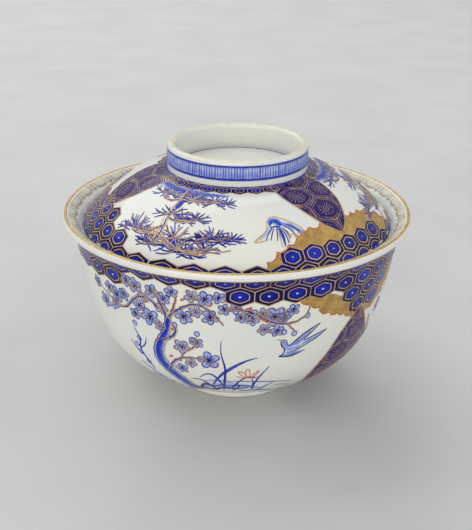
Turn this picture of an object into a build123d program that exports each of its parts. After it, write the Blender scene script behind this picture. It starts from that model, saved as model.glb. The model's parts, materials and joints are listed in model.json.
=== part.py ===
from build123d import *
from math import cos, radians, sin
import os

# A covered porcelain tea bowl (gaiwan): a footed bowl with an everted lip, and a domed lid
# that drops inside the lip and carries a tall grip ring. Both pieces are turned about +Z.
# The origin is the centre of the foot's resting plane. Millimetres and degrees.

# ---- driving dimensions ----
WALL = 2.6                  # thickness of the bowl's wall and floor
FOOT_RADIUS = 21.3
FOOT_HEIGHT = 5.5
FOOT_WALL = 2.6
FOOT_EDGE_ROUND = 1.0       # rounding of the foot's lower edges

# stations up the outside of the bowl: radius, height, slope of the wall there
BOWL_STATIONS = (
    (30.6, 8.2, 19.0),
    (37.2, 12.6, 40.0),
    (44.6, 21.0, 56.0),
    (48.6, 31.0, 73.5),
    (52.3, 47.5, 78.5),
)
NECK_RADIUS = 53.8          # outside of the bowl, where the lip begins to turn out
NECK_HEIGHT = 56.5
LIP_RADIUS = 57.5           # half of the bowl's width across the lip
LIP_UNDER_HEIGHT = 60.65    # lower edge of the lip's upright face
LIP_UNDER_RADIUS = 57.3
LIP_WIDEST_HEIGHT = 61.8
LIP_SEAT_HEIGHT = 62.65     # flat top that the gilding is fired on
LIP_SEAT_OUTER = 57.1
LIP_SEAT_INNER = 56.1
SHELF_RADIUS = 52.6         # inside, where the flared shelf meets the wall
SHELF_HEIGHT = 60.4
REST_RADIUS = 50.55         # inside, where the lid's edge comes to rest
REST_HEIGHT = 57.45
THROAT_RADIUS = 49.95
THROAT_HEIGHT = 54.5

LID_WALL = 2.2
LID_RADIUS = 50.8           # half of the lid's width
LID_EDGE_HEIGHT = 58.7      # height of the lid's widest circle
LID_EDGE_SLOPE = 53.1       # steepness of the dome where it meets the rounded edge
LID_BULGE = 2.95            # how far the dome stands out from a straight cone
LID_CROWN_HEIGHT = 76.6     # flat ring on the crown that the grip ring is luted to
LID_CUP_DIP = 0.5           # dip of the crown's middle, the floor of the grip ring's cup

RING_RADIUS = 23.1          # grip ring's outside at its base
RING_TOP_RADIUS = 22.9
RING_BORE = 20.2            # grip ring's inside at its base
RING_TOP_BORE = 20.5
RING_SHOULDER_HEIGHT = 83.1
RING_SEAT_HEIGHT = 84.45
RING_SEAT_OUTER = 22.3
RING_SEAT_INNER = 21.1

GILT_HEIGHT = 0.25          # how far a gilt line is built up above its seat
GILT_BEVEL = 0.15           # how much narrower its top is, at each side


def at(radius, height):
    """Point of a turned profile, in the half plane y = 0."""
    return Vector(radius, 0, height)


def turned(*edges):
    """Solid turned about +Z from the closed profile that the edges make."""
    return revolve(make_face(edges), axis=Axis.Z)


def inset(radius, height, slope, thickness):
    """Point that lies one wall thickness inside the given station."""
    return at(radius - thickness * sin(radians(slope)), height + thickness * cos(radians(slope)))


def slope_vector(slope):
    """Direction of a wall with the given slope, leading outwards and up."""
    return Vector(cos(radians(slope)), 0, sin(radians(slope)))


def bowl_body():
    """The bowl: a round belly, a nearly upright wall and a thick everted lip."""
    foot_edge = at(FOOT_RADIUS, FOOT_HEIGHT)
    neck = at(NECK_RADIUS, NECK_HEIGHT)
    lip_under = at(LIP_UNDER_RADIUS, LIP_UNDER_HEIGHT)
    seat_outer = at(LIP_SEAT_OUTER, LIP_SEAT_HEIGHT)
    seat_inner = at(LIP_SEAT_INNER, LIP_SEAT_HEIGHT)
    shelf = at(SHELF_RADIUS, SHELF_HEIGHT)
    lid_rest = at(REST_RADIUS, REST_HEIGHT)
    throat = at(THROAT_RADIUS, THROAT_HEIGHT)
    floor_height = FOOT_HEIGHT + WALL
    floor_edge = at(FOOT_RADIUS, floor_height)
    outside = [at(radius, height) for radius, height, slope in BOWL_STATIONS]
    inside = [inset(radius, height, slope, WALL) for radius, height, slope in BOWL_STATIONS]
    return turned(
        Line(at(0, FOOT_HEIGHT), foot_edge),
        Spline(foot_edge, *outside, neck, tangents=(slope_vector(10), slope_vector(82))),
        Spline(neck, lip_under, tangents=(slope_vector(82), slope_vector(28))),
        ThreePointArc(lip_under, at(LIP_RADIUS, LIP_WIDEST_HEIGHT), seat_outer),
        Line(seat_outer, seat_inner),
        Spline(seat_inner, shelf, lid_rest, throat, tangents=(-slope_vector(22), -slope_vector(88))),
        Spline(throat, *reversed(inside), floor_edge, tangents=(-slope_vector(88), -slope_vector(2))),
        Line(floor_edge, at(0, floor_height)),
        Line(at(0, floor_height), at(0, FOOT_HEIGHT)),
    )


def bowl_foot_ring():
    """The turned foot under the bowl, with rounded lower edges and a narrow resting face."""
    bore = FOOT_RADIUS - FOOT_WALL
    corner = FOOT_EDGE_ROUND * (1 - cos(radians(45)))
    return turned(
        Line(at(FOOT_RADIUS, FOOT_HEIGHT), at(FOOT_RADIUS, FOOT_EDGE_ROUND)),
        ThreePointArc(
            at(FOOT_RADIUS, FOOT_EDGE_ROUND),
            at(FOOT_RADIUS - corner, corner),
            at(FOOT_RADIUS - FOOT_EDGE_ROUND, 0),
        ),
        Line(at(FOOT_RADIUS - FOOT_EDGE_ROUND, 0), at(bore + FOOT_EDGE_ROUND, 0)),
        ThreePointArc(
            at(bore + FOOT_EDGE_ROUND, 0),
            at(bore + corner, corner),
            at(bore, FOOT_EDGE_ROUND),
        ),
        Line(at(bore, FOOT_EDGE_ROUND), at(bore, FOOT_HEIGHT)),
        Line(at(bore, FOOT_HEIGHT), at(FOOT_RADIUS, FOOT_HEIGHT)),
    )


def gilt_line(inner, outer, seat_height):
    """A line of fired gold on a flat seat, with bevelled sides."""
    top_outer = at(outer - GILT_BEVEL, seat_height + GILT_HEIGHT)
    top_inner = at(inner + GILT_BEVEL, seat_height + GILT_HEIGHT)
    return turned(
        Line(at(inner, seat_height), at(outer, seat_height)),
        Line(at(outer, seat_height), top_outer),
        Line(top_outer, top_inner),
        Line(top_inner, at(inner, seat_height)),
    )


def lid_dome():
    """The lid's dome: a flat crown, a bulging shoulder and a rounded edge."""
    edge_round = LID_WALL / 2
    edge_centre = at(LID_RADIUS - edge_round, LID_EDGE_HEIGHT)
    across = Vector(sin(radians(LID_EDGE_SLOPE)), 0, cos(radians(LID_EDGE_SLOPE)))
    downhill = Vector(cos(radians(LID_EDGE_SLOPE)), 0, -sin(radians(LID_EDGE_SLOPE)))
    outer_end = edge_centre + across * edge_round
    inner_end = edge_centre - across * edge_round
    crown_edge = at(RING_RADIUS, LID_CROWN_HEIGHT)
    chord = outer_end - crown_edge
    bulge = Vector(-chord.Z, 0, chord.X).normalized()
    outer_middle = (crown_edge + outer_end) * 0.5 + bulge * LID_BULGE
    under_height = LID_CROWN_HEIGHT - LID_CUP_DIP - LID_WALL
    under_edge = at(RING_BORE, under_height)
    return turned(
        Line(at(RING_BORE, LID_CROWN_HEIGHT), crown_edge),
        ThreePointArc(crown_edge, outer_middle, outer_end),
        ThreePointArc(outer_end, edge_centre + downhill * edge_round, inner_end),
        ThreePointArc(inner_end, outer_middle - bulge * LID_WALL, under_edge),
        Line(under_edge, at(0, under_height)),
        Line(at(0, under_height), at(0, LID_CROWN_HEIGHT - LID_CUP_DIP)),
        Spline(
            at(0, LID_CROWN_HEIGHT - LID_CUP_DIP),
            at(RING_BORE, LID_CROWN_HEIGHT),
            tangents=(slope_vector(0), slope_vector(4)),
        ),
    )


def lid_grip_ring():
    """The tall ring that the lid is lifted by, open like a shallow cup when the lid is turned over."""
    shoulder = at(RING_TOP_RADIUS, RING_SHOULDER_HEIGHT)
    seat_outer = at(RING_SEAT_OUTER, RING_SEAT_HEIGHT)
    seat_inner = at(RING_SEAT_INNER, RING_SEAT_HEIGHT)
    bore_shoulder = at(RING_TOP_BORE, RING_SHOULDER_HEIGHT)
    return turned(
        Line(at(RING_BORE, LID_CROWN_HEIGHT), at(RING_RADIUS, LID_CROWN_HEIGHT)),
        Line(at(RING_RADIUS, LID_CROWN_HEIGHT), shoulder),
        Spline(shoulder, seat_outer, tangents=(slope_vector(90), -slope_vector(-10))),
        Line(seat_outer, seat_inner),
        Spline(seat_inner, bore_shoulder, tangents=(-slope_vector(10), -slope_vector(90))),
        Line(bore_shoulder, at(RING_BORE, LID_CROWN_HEIGHT)),
    )


PIECES = {
    "bowl_body": bowl_body(),
    "bowl_foot_ring": bowl_foot_ring(),
    "bowl_lip_gilding": gilt_line(LIP_SEAT_INNER, LIP_SEAT_OUTER, LIP_SEAT_HEIGHT),
    "lid_dome": lid_dome(),
    "lid_grip_ring": lid_grip_ring(),
    "lid_ring_gilding": gilt_line(RING_SEAT_INNER, RING_SEAT_OUTER, RING_SEAT_HEIGHT),
}

os.makedirs("parts", exist_ok=True)
for node, piece in PIECES.items():
    piece.label = node
    export_step(piece, f"parts/{node}.step")
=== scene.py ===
"""Covered porcelain tea bowl: glaze, underglaze cobalt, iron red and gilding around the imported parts."""

import json
import logging
import math
import random
from contextlib import contextmanager
from dataclasses import dataclass, field
from enum import Enum
from typing import Callable, Iterator, Sequence

import bmesh
import bpy
import numpy as np
from mathutils import Matrix, Vector

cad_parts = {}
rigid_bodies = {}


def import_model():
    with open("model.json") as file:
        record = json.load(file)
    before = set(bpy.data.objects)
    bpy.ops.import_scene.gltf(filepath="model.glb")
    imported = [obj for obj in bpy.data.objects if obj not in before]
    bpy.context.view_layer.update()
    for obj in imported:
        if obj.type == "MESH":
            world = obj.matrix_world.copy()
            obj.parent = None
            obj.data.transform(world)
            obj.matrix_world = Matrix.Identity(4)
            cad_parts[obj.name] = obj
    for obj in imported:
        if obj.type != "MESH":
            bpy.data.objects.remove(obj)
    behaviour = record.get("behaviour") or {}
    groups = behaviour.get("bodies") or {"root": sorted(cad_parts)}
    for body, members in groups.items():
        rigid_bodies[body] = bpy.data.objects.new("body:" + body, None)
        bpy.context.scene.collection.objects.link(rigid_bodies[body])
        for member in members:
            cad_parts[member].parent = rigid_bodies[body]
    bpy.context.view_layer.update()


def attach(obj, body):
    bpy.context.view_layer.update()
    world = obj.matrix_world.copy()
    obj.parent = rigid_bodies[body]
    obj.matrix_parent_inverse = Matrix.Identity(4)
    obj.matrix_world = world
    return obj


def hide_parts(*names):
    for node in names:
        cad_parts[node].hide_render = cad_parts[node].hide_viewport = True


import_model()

LOG = logging.getLogger("tea_bowl")

MM = 0.001                      # the drawing is in millimetres and degrees, the model in metres
SEED = 1871                     # every hand-made irregularity comes from this
SHARP_ANGLE = 50                # degrees between two faces past which their edge is shown sharp
WELD = 1e-7                     # points of a turned part closer than this, in metres, are one
SLIVER = 1e-8                   # its edges shorter than this are dissolved

Point = tuple[float, float]


# ---------------------------------------------------------------------------------------------
# Curves and turned profiles
# ---------------------------------------------------------------------------------------------

def smooth_line(
    points: Sequence[Point],
    start: float | None = None,
    end: float | None = None,
    step: float = 0.6,
    count: int | None = None,
) -> np.ndarray:
    """Runs one smooth curve through a few stations.

    Args:
        points: The stations, in millimetres.
        start: Direction of the curve at its first station in degrees, or None to leave it free.
        end: Direction at its last station, or None.
        step: Largest distance between two samples.
        count: Number of spans between samples, in place of step.

    Returns:
        The samples, one row each.
    """
    stations = np.array(points, float)
    spans = np.maximum(np.hypot(*np.diff(stations, axis=0).T), 1e-6)
    number = len(stations)
    matrix = np.zeros((number, number))
    right = np.zeros((number, 2))
    for i in range(1, number - 1):
        before, after = spans[i - 1], spans[i]
        matrix[i, i - 1 : i + 2] = after, 2 * (before + after), before
        right[i] = 3 * (
            after * (stations[i] - stations[i - 1]) / before
            + before * (stations[i + 1] - stations[i]) / after
        )
    for row, beside, span, slope in ((0, 1, 0, start), (number - 1, number - 2, -1, end)):
        if slope is None:
            matrix[row, row], matrix[row, beside] = 2, 1
            low, high = sorted((row, beside))
            right[row] = 3 * (stations[high] - stations[low]) / spans[span]
        else:
            matrix[row, row] = 1
            right[row] = math.cos(math.radians(slope)), math.sin(math.radians(slope))
    headings = np.linalg.solve(matrix, right)
    knots = np.concatenate([[0.0], np.cumsum(spans)])
    total = knots[-1]
    places = np.linspace(0, total, (count or max(2, math.ceil(total / step))) + 1)
    index = np.clip(np.searchsorted(knots, places, side="right") - 1, 0, number - 2)
    span = spans[index][:, None]
    t = (places[:, None] - knots[index][:, None]) / span
    return (
        (2 * t**3 - 3 * t**2 + 1) * stations[index]
        + (t**3 - 2 * t**2 + t) * span * headings[index]
        + (3 * t**2 - 2 * t**3) * stations[index + 1]
        + (t**3 - t**2) * span * headings[index + 1]
    )


def arc_line(first: Point, through: Point, last: Point, count: int = 12) -> np.ndarray:
    """Samples the circular arc that runs through three points.

    Args:
        first: Where the arc starts.
        through: A point on it.
        last: Where it ends.
        count: Number of spans.

    Returns:
        The samples, one row each.
    """
    a, b, c = (np.array(p, float) for p in (first, through, last))
    rows = np.array([b - a, c - a]) * 2
    centre = np.linalg.solve(rows, [b @ b - a @ a, c @ c - a @ a])
    angles = [math.atan2(*(p - centre)[::-1]) for p in (a, b, c)]
    turn = (angles[2] - angles[0]) % math.tau
    if (angles[1] - angles[0]) % math.tau > turn:
        turn -= math.tau
    radius = np.linalg.norm(a - centre)
    sweep = angles[0] + turn * np.linspace(0, 1, count + 1)
    return centre + radius * np.stack([np.cos(sweep), np.sin(sweep)], axis=1)


def joined(*runs: np.ndarray | Sequence[Point]) -> np.ndarray:
    """Puts the runs of one outline end to end, with the points they share kept once.

    Args:
        runs: The runs, in order.

    Returns:
        The outline, one point per row.
    """
    points: list[np.ndarray] = []
    for run in runs:
        for point in np.array(run, float):
            if not points or np.linalg.norm(point - points[-1]) > 1e-4:
                points.append(point)
    return np.array(points)


class Surface:
    """A glazed surface of revolution that can be painted on.

    A place on it is an angle in degrees from the front, growing towards +X, and a distance in
    millimetres along its profile. Lift is the distance out of the glaze.
    """

    def __init__(self, profile: np.ndarray, up: int, outward: int) -> None:
        """Measures the profile.

        Args:
            profile: Radius and height along the surface, in millimetres.
            up: 1 where the distance grows towards the top of a painting, or -1.
            outward: 1 where the outside lies to the right of the profile's direction, or -1.
        """
        gaps = np.hypot(*np.diff(profile, axis=0).T)
        self.along = np.concatenate([[0.0], np.cumsum(gaps)])
        self.radius, self.height = profile.T
        heading = np.gradient(profile, self.along, axis=0)
        heading /= np.linalg.norm(heading, axis=1)[:, None]
        self.normal_r = heading[:, 1] * outward
        self.normal_z = -heading[:, 0] * outward
        self.up = up
        self.length = float(self.along[-1])

    def scale(self, along: float) -> float:
        """Millimetres in one degree of turn, at a distance along the profile."""
        return math.radians(float(np.interp(along, self.along, self.radius)))

    def wrap(self, drawn: np.ndarray) -> np.ndarray:
        """Puts drawn places onto the surface.

        Args:
            drawn: Angle, distance along and lift, one row each.

        Returns:
            Points in metres, one row each.
        """
        angle, along, lift = np.radians(drawn[:, 0]), drawn[:, 1], drawn[:, 2]
        radius = np.interp(along, self.along, self.radius)
        height = np.interp(along, self.along, self.height)
        radius += lift * np.interp(along, self.along, self.normal_r)
        height += lift * np.interp(along, self.along, self.normal_z)
        return np.stack([radius * np.sin(angle), -radius * np.cos(angle), height], axis=1) * MM


# ---------------------------------------------------------------------------------------------
# Finishes
# ---------------------------------------------------------------------------------------------

class NodeSheet:
    """A material's node tree, with short calls that add to it."""

    def __init__(self, name: str) -> None:
        """Starts an empty material with one Principled shader.

        Args:
            name: The material's name.
        """
        self.material = bpy.data.materials.new(name)
        self.material.use_nodes = True
        self.tree = self.material.node_tree
        self.shader = self.tree.nodes["Principled BSDF"]
        self.place = self.add("ShaderNodeTexCoord").outputs["Object"]

    def add(self, kind: str, **settings: object) -> bpy.types.Node:
        """Adds a node and sets its properties and sockets.

        Args:
            kind: The node's type.
            settings: Values by the name of a property or a socket, with _ for a space.

        Returns:
            The new node.
        """
        node = self.tree.nodes.new(kind)
        for name, value in settings.items():
            if hasattr(node, name):
                setattr(node, name, value)
            else:
                node.inputs[name.replace("_", " ")].default_value = value
        return node

    def link(self, source: bpy.types.NodeSocket, target: bpy.types.NodeSocket) -> None:
        """Joins two sockets."""
        self.tree.links.new(source, target)

    def noise(self, size: float, detail: float = 2.0, roughness: float = 0.5) -> bpy.types.NodeSocket:
        """Adds cloudy variation.

        Args:
            size: How far across its features are, in millimetres.
            detail: Number of finer layers on top.
            roughness: How strong the finer layers are.

        Returns:
            The variation, 0 to 1.
        """
        node = self.add("ShaderNodeTexNoise", Scale=1 / (size * MM), Detail=detail, Roughness=roughness)
        self.link(self.place, node.inputs["Vector"])
        return node.outputs["Fac"]

    def ramp(self, source: bpy.types.NodeSocket, low: float, high: float) -> bpy.types.NodeSocket:
        """Stretches a value, with soft ends.

        Args:
            source: The value.
            low: What becomes 0.
            high: What becomes 1.

        Returns:
            The stretched value.
        """
        node = self.add("ShaderNodeMapRange", interpolation_type="SMOOTHSTEP", From_Min=low, From_Max=high)
        self.link(source, node.inputs["Value"])
        return node.outputs["Result"]

    def blend(self, amount: bpy.types.NodeSocket, first: object, second: object) -> bpy.types.NodeSocket:
        """Mixes two colours, each a tuple or the output of another mix.

        Args:
            amount: How much of the second colour there is.
            first: The first colour.
            second: The second colour.

        Returns:
            The mixed colour.
        """
        node = self.add("ShaderNodeMix", data_type="RGBA")
        self.link(amount, node.inputs["Factor"])
        for socket, colour in ((node.inputs[6], first), (node.inputs[7], second)):
            if isinstance(colour, tuple):
                socket.default_value = (*colour, 1.0)
            else:
                self.link(colour, socket)
        return node.outputs[2]

    def between(self, amount: bpy.types.NodeSocket, low: float, high: float) -> bpy.types.NodeSocket:
        """Makes a number that follows an amount.

        Args:
            amount: The amount, 0 to 1.
            low: The number at 0.
            high: The number at 1.

        Returns:
            The number.
        """
        node = self.add("ShaderNodeMapRange", To_Min=low, To_Max=high)
        self.link(amount, node.inputs["Value"])
        return node.outputs["Result"]

    def attribute(self, name: str) -> bpy.types.NodeSocket:
        """A number painted into the mesh's points."""
        return self.add("ShaderNodeAttribute", attribute_name=name).outputs["Fac"]

    def bump(self, source: bpy.types.NodeSocket, depth: float, strength: float = 1.0) -> None:
        """Raises the surface where a value is high.

        Args:
            source: The value, 0 to 1.
            depth: The rise at 1, in millimetres.
            strength: How much of it shows.
        """
        node = self.add("ShaderNodeBump", Strength=strength, Distance=depth * MM)
        self.link(source, node.inputs["Height"])
        self.link(node.outputs["Normal"], self.shader.inputs["Normal"])

    def base(self, colour: bpy.types.NodeSocket, roughness: bpy.types.NodeSocket) -> None:
        """Gives the shader its colour and roughness."""
        self.link(colour, self.shader.inputs["Base Color"])
        self.link(roughness, self.shader.inputs["Roughness"])


@dataclass(frozen=True)
class PorcelainGlaze:
    """White porcelain under a clear, faintly blue feldspar glaze."""

    name: str = "porcelain_glaze"
    white: tuple = (0.79, 0.775, 0.70)
    cool: tuple = (0.735, 0.755, 0.715)
    speck: tuple = (0.20, 0.15, 0.10)

    def build(self) -> bpy.types.Material:
        """Makes the material: drifting tint, rare iron specks, and a soft glaze ripple.

        Returns:
            The material.
        """
        sheet = NodeSheet(self.name)
        tint = sheet.ramp(sheet.noise(26.0, 3.0), 0.36, 0.66)
        colour = sheet.blend(tint, self.white, self.cool)
        specks = sheet.ramp(sheet.noise(0.9, 1.0), 0.815, 0.85)
        colour = sheet.blend(specks, colour, self.speck)
        sheet.base(colour, sheet.between(sheet.noise(9.0), 0.05, 0.13))
        sheet.bump(sheet.noise(4.5, 1.5), 0.05, 0.35)
        sheet.shader.inputs["Specular IOR Level"].default_value = 0.5
        sheet.shader.inputs["IOR"].default_value = 1.5
        return sheet.material


@dataclass(frozen=True)
class UnglazedFoot:
    """The foot's resting edge, wiped clean of glaze before firing."""

    name: str = "unglazed_biscuit"
    pale: tuple = (0.70, 0.66, 0.58)
    warm: tuple = (0.60, 0.51, 0.40)

    def build(self) -> bpy.types.Material:
        """Makes the material: glaze above, bare gritty clay where the foot rests.

        Returns:
            The material.
        """
        sheet = NodeSheet(self.name)
        height = sheet.add("ShaderNodeSeparateXYZ")
        sheet.link(sheet.place, height.inputs["Vector"])
        glazed = sheet.ramp(height.outputs["Z"], 0.55 * MM, 0.95 * MM)
        clay = sheet.blend(sheet.ramp(sheet.noise(2.0, 4.0), 0.35, 0.7), self.pale, self.warm)
        glaze = PorcelainGlaze()
        tint = sheet.blend(sheet.ramp(sheet.noise(12.0), 0.4, 0.65), glaze.white, glaze.cool)
        colour = sheet.blend(glazed, clay, tint)
        sheet.base(colour, sheet.between(glazed, 0.62, 0.09))
        sheet.bump(sheet.noise(0.5, 4.0), 0.03, 0.25)
        return sheet.material


@dataclass(frozen=True)
class CobaltPaint:
    """Cobalt under the glaze: thin where the brush was dry, nearly black where it pooled."""

    name: str
    thin: tuple                 # colour of a dry stroke
    full: tuple                 # colour of a full one
    pooled: tuple               # colour where the paint gathered

    def build(self) -> bpy.types.Material:
        """Makes the material from the tone painted into the mesh and the brush's own unevenness.

        Returns:
            The material.
        """
        sheet = NodeSheet(self.name)
        tone = sheet.attribute("tone")
        drift = sheet.add("ShaderNodeMath", operation="MULTIPLY_ADD")
        sheet.link(sheet.noise(1.6, 3.0, 0.6), drift.inputs[0])
        drift.inputs[1].default_value = 0.7
        sheet.link(tone, drift.inputs[2])
        density = sheet.ramp(drift.outputs[0], 0.30, 1.25)
        colour = sheet.blend(density, self.thin, self.full)
        pool = sheet.ramp(drift.outputs[0], 1.05, 1.55)
        colour = sheet.blend(pool, colour, self.pooled)
        sheet.base(colour, sheet.between(sheet.noise(5.0), 0.07, 0.16))
        sheet.shader.inputs["Specular IOR Level"].default_value = 0.2
        return sheet.material


@dataclass(frozen=True)
class FiredGold:
    """Overglaze gold, rubbed thin by use until the colour beneath shows."""

    name: str
    bright: tuple = (0.68, 0.46, 0.20)
    dull: tuple = (0.42, 0.26, 0.13)
    beneath: tuple = (0.42, 0.33, 0.25)
    worn: float = 0.62          # the lower, the more of the gold is rubbed away
    metallic: float = 0.42      # of gold that isn't rubbed

    def build(self) -> bpy.types.Material:
        """Makes the material: mottled gold, with worn patches that are less metallic.

        Returns:
            The material.
        """
        sheet = NodeSheet(self.name)
        mottle = sheet.ramp(sheet.noise(3.2, 4.0, 0.6), 0.34, 0.68)
        colour = sheet.blend(mottle, self.bright, self.dull)
        rubbed = sheet.ramp(sheet.noise(1.7, 3.0, 0.65), self.worn - 0.05, self.worn + 0.06)
        colour = sheet.blend(rubbed, colour, self.beneath)
        sheet.base(colour, sheet.between(sheet.noise(2.0), 0.28, 0.46))
        sheet.link(sheet.between(rubbed, self.metallic, 0.05), sheet.shader.inputs["Metallic"])
        sheet.bump(sheet.noise(0.45, 2.0), 0.01, 0.3)
        return sheet.material


@dataclass(frozen=True)
class IronRed:
    """Overglaze iron red in thin, slightly matt enamel."""

    name: str = "iron_red_enamel"
    thin: tuple = (0.62, 0.20, 0.11)
    full: tuple = (0.45, 0.075, 0.03)

    def build(self) -> bpy.types.Material:
        """Makes the material with streaks of thinner enamel.

        Returns:
            The material.
        """
        sheet = NodeSheet(self.name)
        colour = sheet.blend(sheet.ramp(sheet.noise(1.2, 3.0), 0.35, 0.7), self.full, self.thin)
        sheet.base(colour, sheet.between(sheet.noise(2.0), 0.22, 0.38))
        return sheet.material


class Pigment(Enum):
    """What can be painted: its name in a piece, its lift out of the glaze and its material slot."""

    CLOUD = ("cloud_gold", 0.022, "gilding")
    WASH = ("cobalt_wash", 0.034, "cobalt_wash")
    GROUND = ("cobalt_ground", 0.044, "cobalt_blue")
    PANEL = ("brocade_ground", 0.056, "cobalt_blue")
    LINE = ("cobalt_line", 0.066, "cobalt_blue")
    RED = ("iron_red", 0.078, "iron_red")
    GOLD = ("gold_line", 0.088, "gilding")
    BROCADE = ("brocade_gold", 0.087, "gilding")
    OLIVE = ("lappet_line", 0.050, "gilding")
    BUFF = ("lappet_wash", 0.026, "gilding")

    def __init__(self, label: str, lift: float, slot: str) -> None:
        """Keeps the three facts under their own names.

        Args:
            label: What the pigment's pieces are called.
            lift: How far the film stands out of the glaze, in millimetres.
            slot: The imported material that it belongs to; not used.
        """
        self.label = label
        self.lift = lift
        self.slot = slot


FINISHES = {
    Pigment.CLOUD: FiredGold("cloud_gold", (0.56, 0.355, 0.10), (0.385, 0.23, 0.06), worn=0.80),
    Pigment.WASH: CobaltPaint("cobalt_wash", (0.74, 0.755, 0.735), (0.11, 0.19, 0.68), (0.02, 0.04, 0.40)),
    # The cobalt ground is the cobalt's own colour, darkened further as painted shade for the shadow under the
    # bowl's lip, on every piece that uses it.
    Pigment.GROUND: CobaltPaint(
        "cobalt_ground", (0.004, 0.028, 0.43), (0.003, 0.004, 0.215), (0.003, 0.002, 0.065)
    ),
    Pigment.PANEL: CobaltPaint(
        "brocade_ground", (0.036, 0.020, 0.28), (0.022, 0.007, 0.16), (0.014, 0.004, 0.08)
    ),
    Pigment.LINE: CobaltPaint("cobalt_line", (0.11, 0.16, 0.58), (0.016, 0.026, 0.30), (0.012, 0.008, 0.10)),
    Pigment.RED: IronRed(),
    Pigment.GOLD: FiredGold("gold_line"),
    Pigment.BROCADE: FiredGold(
        "brocade_gold", (0.46, 0.29, 0.17), (0.30, 0.17, 0.12), (0.07, 0.04, 0.16), 0.56, 0.3
    ),
    Pigment.OLIVE: FiredGold("lappet_line", (0.40, 0.34, 0.23), (0.26, 0.215, 0.13), worn=0.72, metallic=0.1),
    Pigment.BUFF: FiredGold("lappet_wash", (0.66, 0.63, 0.55), (0.58, 0.54, 0.45), worn=0.8, metallic=0.0),
}

LIP_GILDING = FiredGold(
    "rim_gilding", (0.62, 0.40, 0.10), (0.46, 0.28, 0.07), (0.68, 0.56, 0.36), 0.63, 0.45
)
RING_GILDING = FiredGold(
    "ring_gilding", (0.66, 0.55, 0.36), (0.72, 0.63, 0.46), (0.75, 0.70, 0.57), 0.52, 0.08
)


# ---------------------------------------------------------------------------------------------
# Painting
# ---------------------------------------------------------------------------------------------

def placed(x: np.ndarray, y: np.ndarray, centre: Point, turn: float) -> np.ndarray:
    """Points turned by some degrees about the origin, then moved to a centre."""
    cosine, sine = math.cos(math.radians(turn)), math.sin(math.radians(turn))
    return np.stack([centre[0] + x * cosine - y * sine, centre[1] + x * sine + y * cosine], axis=1)


@dataclass(frozen=True)
class Place:
    """A flat sheet laid on a surface: local millimetres, x to the right and y to the painting's top."""

    angle: float                # of its origin, in degrees from the front
    along: float                # distance along of its origin
    turn: float = 0.0           # degrees that it is turned to the left
    size: float = 1.0           # millimetres in one unit of the sheet

    def drawn(self, sheet: np.ndarray, surface: Surface) -> np.ndarray:
        """Turns points on the sheet into angles and distances along the surface.

        Args:
            sheet: Local points, one row each.
            surface: The surface that the sheet lies on.

        Returns:
            Angle and distance along, one row each.
        """
        x, y = sheet[:, 0] * self.size, sheet[:, 1] * self.size
        cosine, sine = math.cos(math.radians(self.turn)), math.sin(math.radians(self.turn))
        right, top = x * cosine - y * sine, x * sine + y * cosine
        degree = surface.scale(self.along)
        return np.stack([self.angle + right / degree, self.along + surface.up * top], axis=1)

    def local(self, places: Sequence[Point], surface: Surface) -> list[Point]:
        """The sheet's own points for angles and distances given on the surface."""
        degree = surface.scale(self.along)
        return [((a - self.angle) * degree, (s - self.along) * surface.up) for a, s in places]


class Region:
    """A closed outline on a surface, which painting can be kept within."""

    def __init__(self, outline: np.ndarray, surface: Surface) -> None:
        """Keeps the outline in millimetres.

        Args:
            outline: Angle and distance along of each corner.
            surface: The surface that it lies on.
        """
        self.degree = surface.scale(float(outline[:, 1].mean()))
        self.corners = outline * (self.degree, 1)

    def clamp(self, places: np.ndarray) -> tuple[np.ndarray, np.ndarray]:
        """Moves the places that are outside onto the outline.

        Args:
            places: Angle and distance along, one row each.

        Returns:
            The moved places, and which of them were inside.
        """
        points = places * (self.degree, 1)
        first, second = self.corners, np.roll(self.corners, -1, axis=0)
        side = second - first
        above = (first[:, 1] > points[:, 1:2]) != (second[:, 1] > points[:, 1:2])
        rise = np.where(side[:, 1] == 0, 1e-12, side[:, 1])
        crossing = first[:, 0] + (points[:, 1:2] - first[:, 1]) * side[:, 0] / rise
        inside = (above & (points[:, 0:1] < crossing)).sum(axis=1) % 2 == 1
        offset = points[:, None, :] - first
        share = np.clip((offset * side).sum(axis=2) / (side**2).sum(axis=1), 0, 1)
        nearest = first + share[:, :, None] * side
        best = np.linalg.norm(points[:, None, :] - nearest, axis=2).argmin(axis=1)
        moved = np.where(inside[:, None], points, nearest[np.arange(len(points)), best])
        return moved / (self.degree, 1), inside


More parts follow.
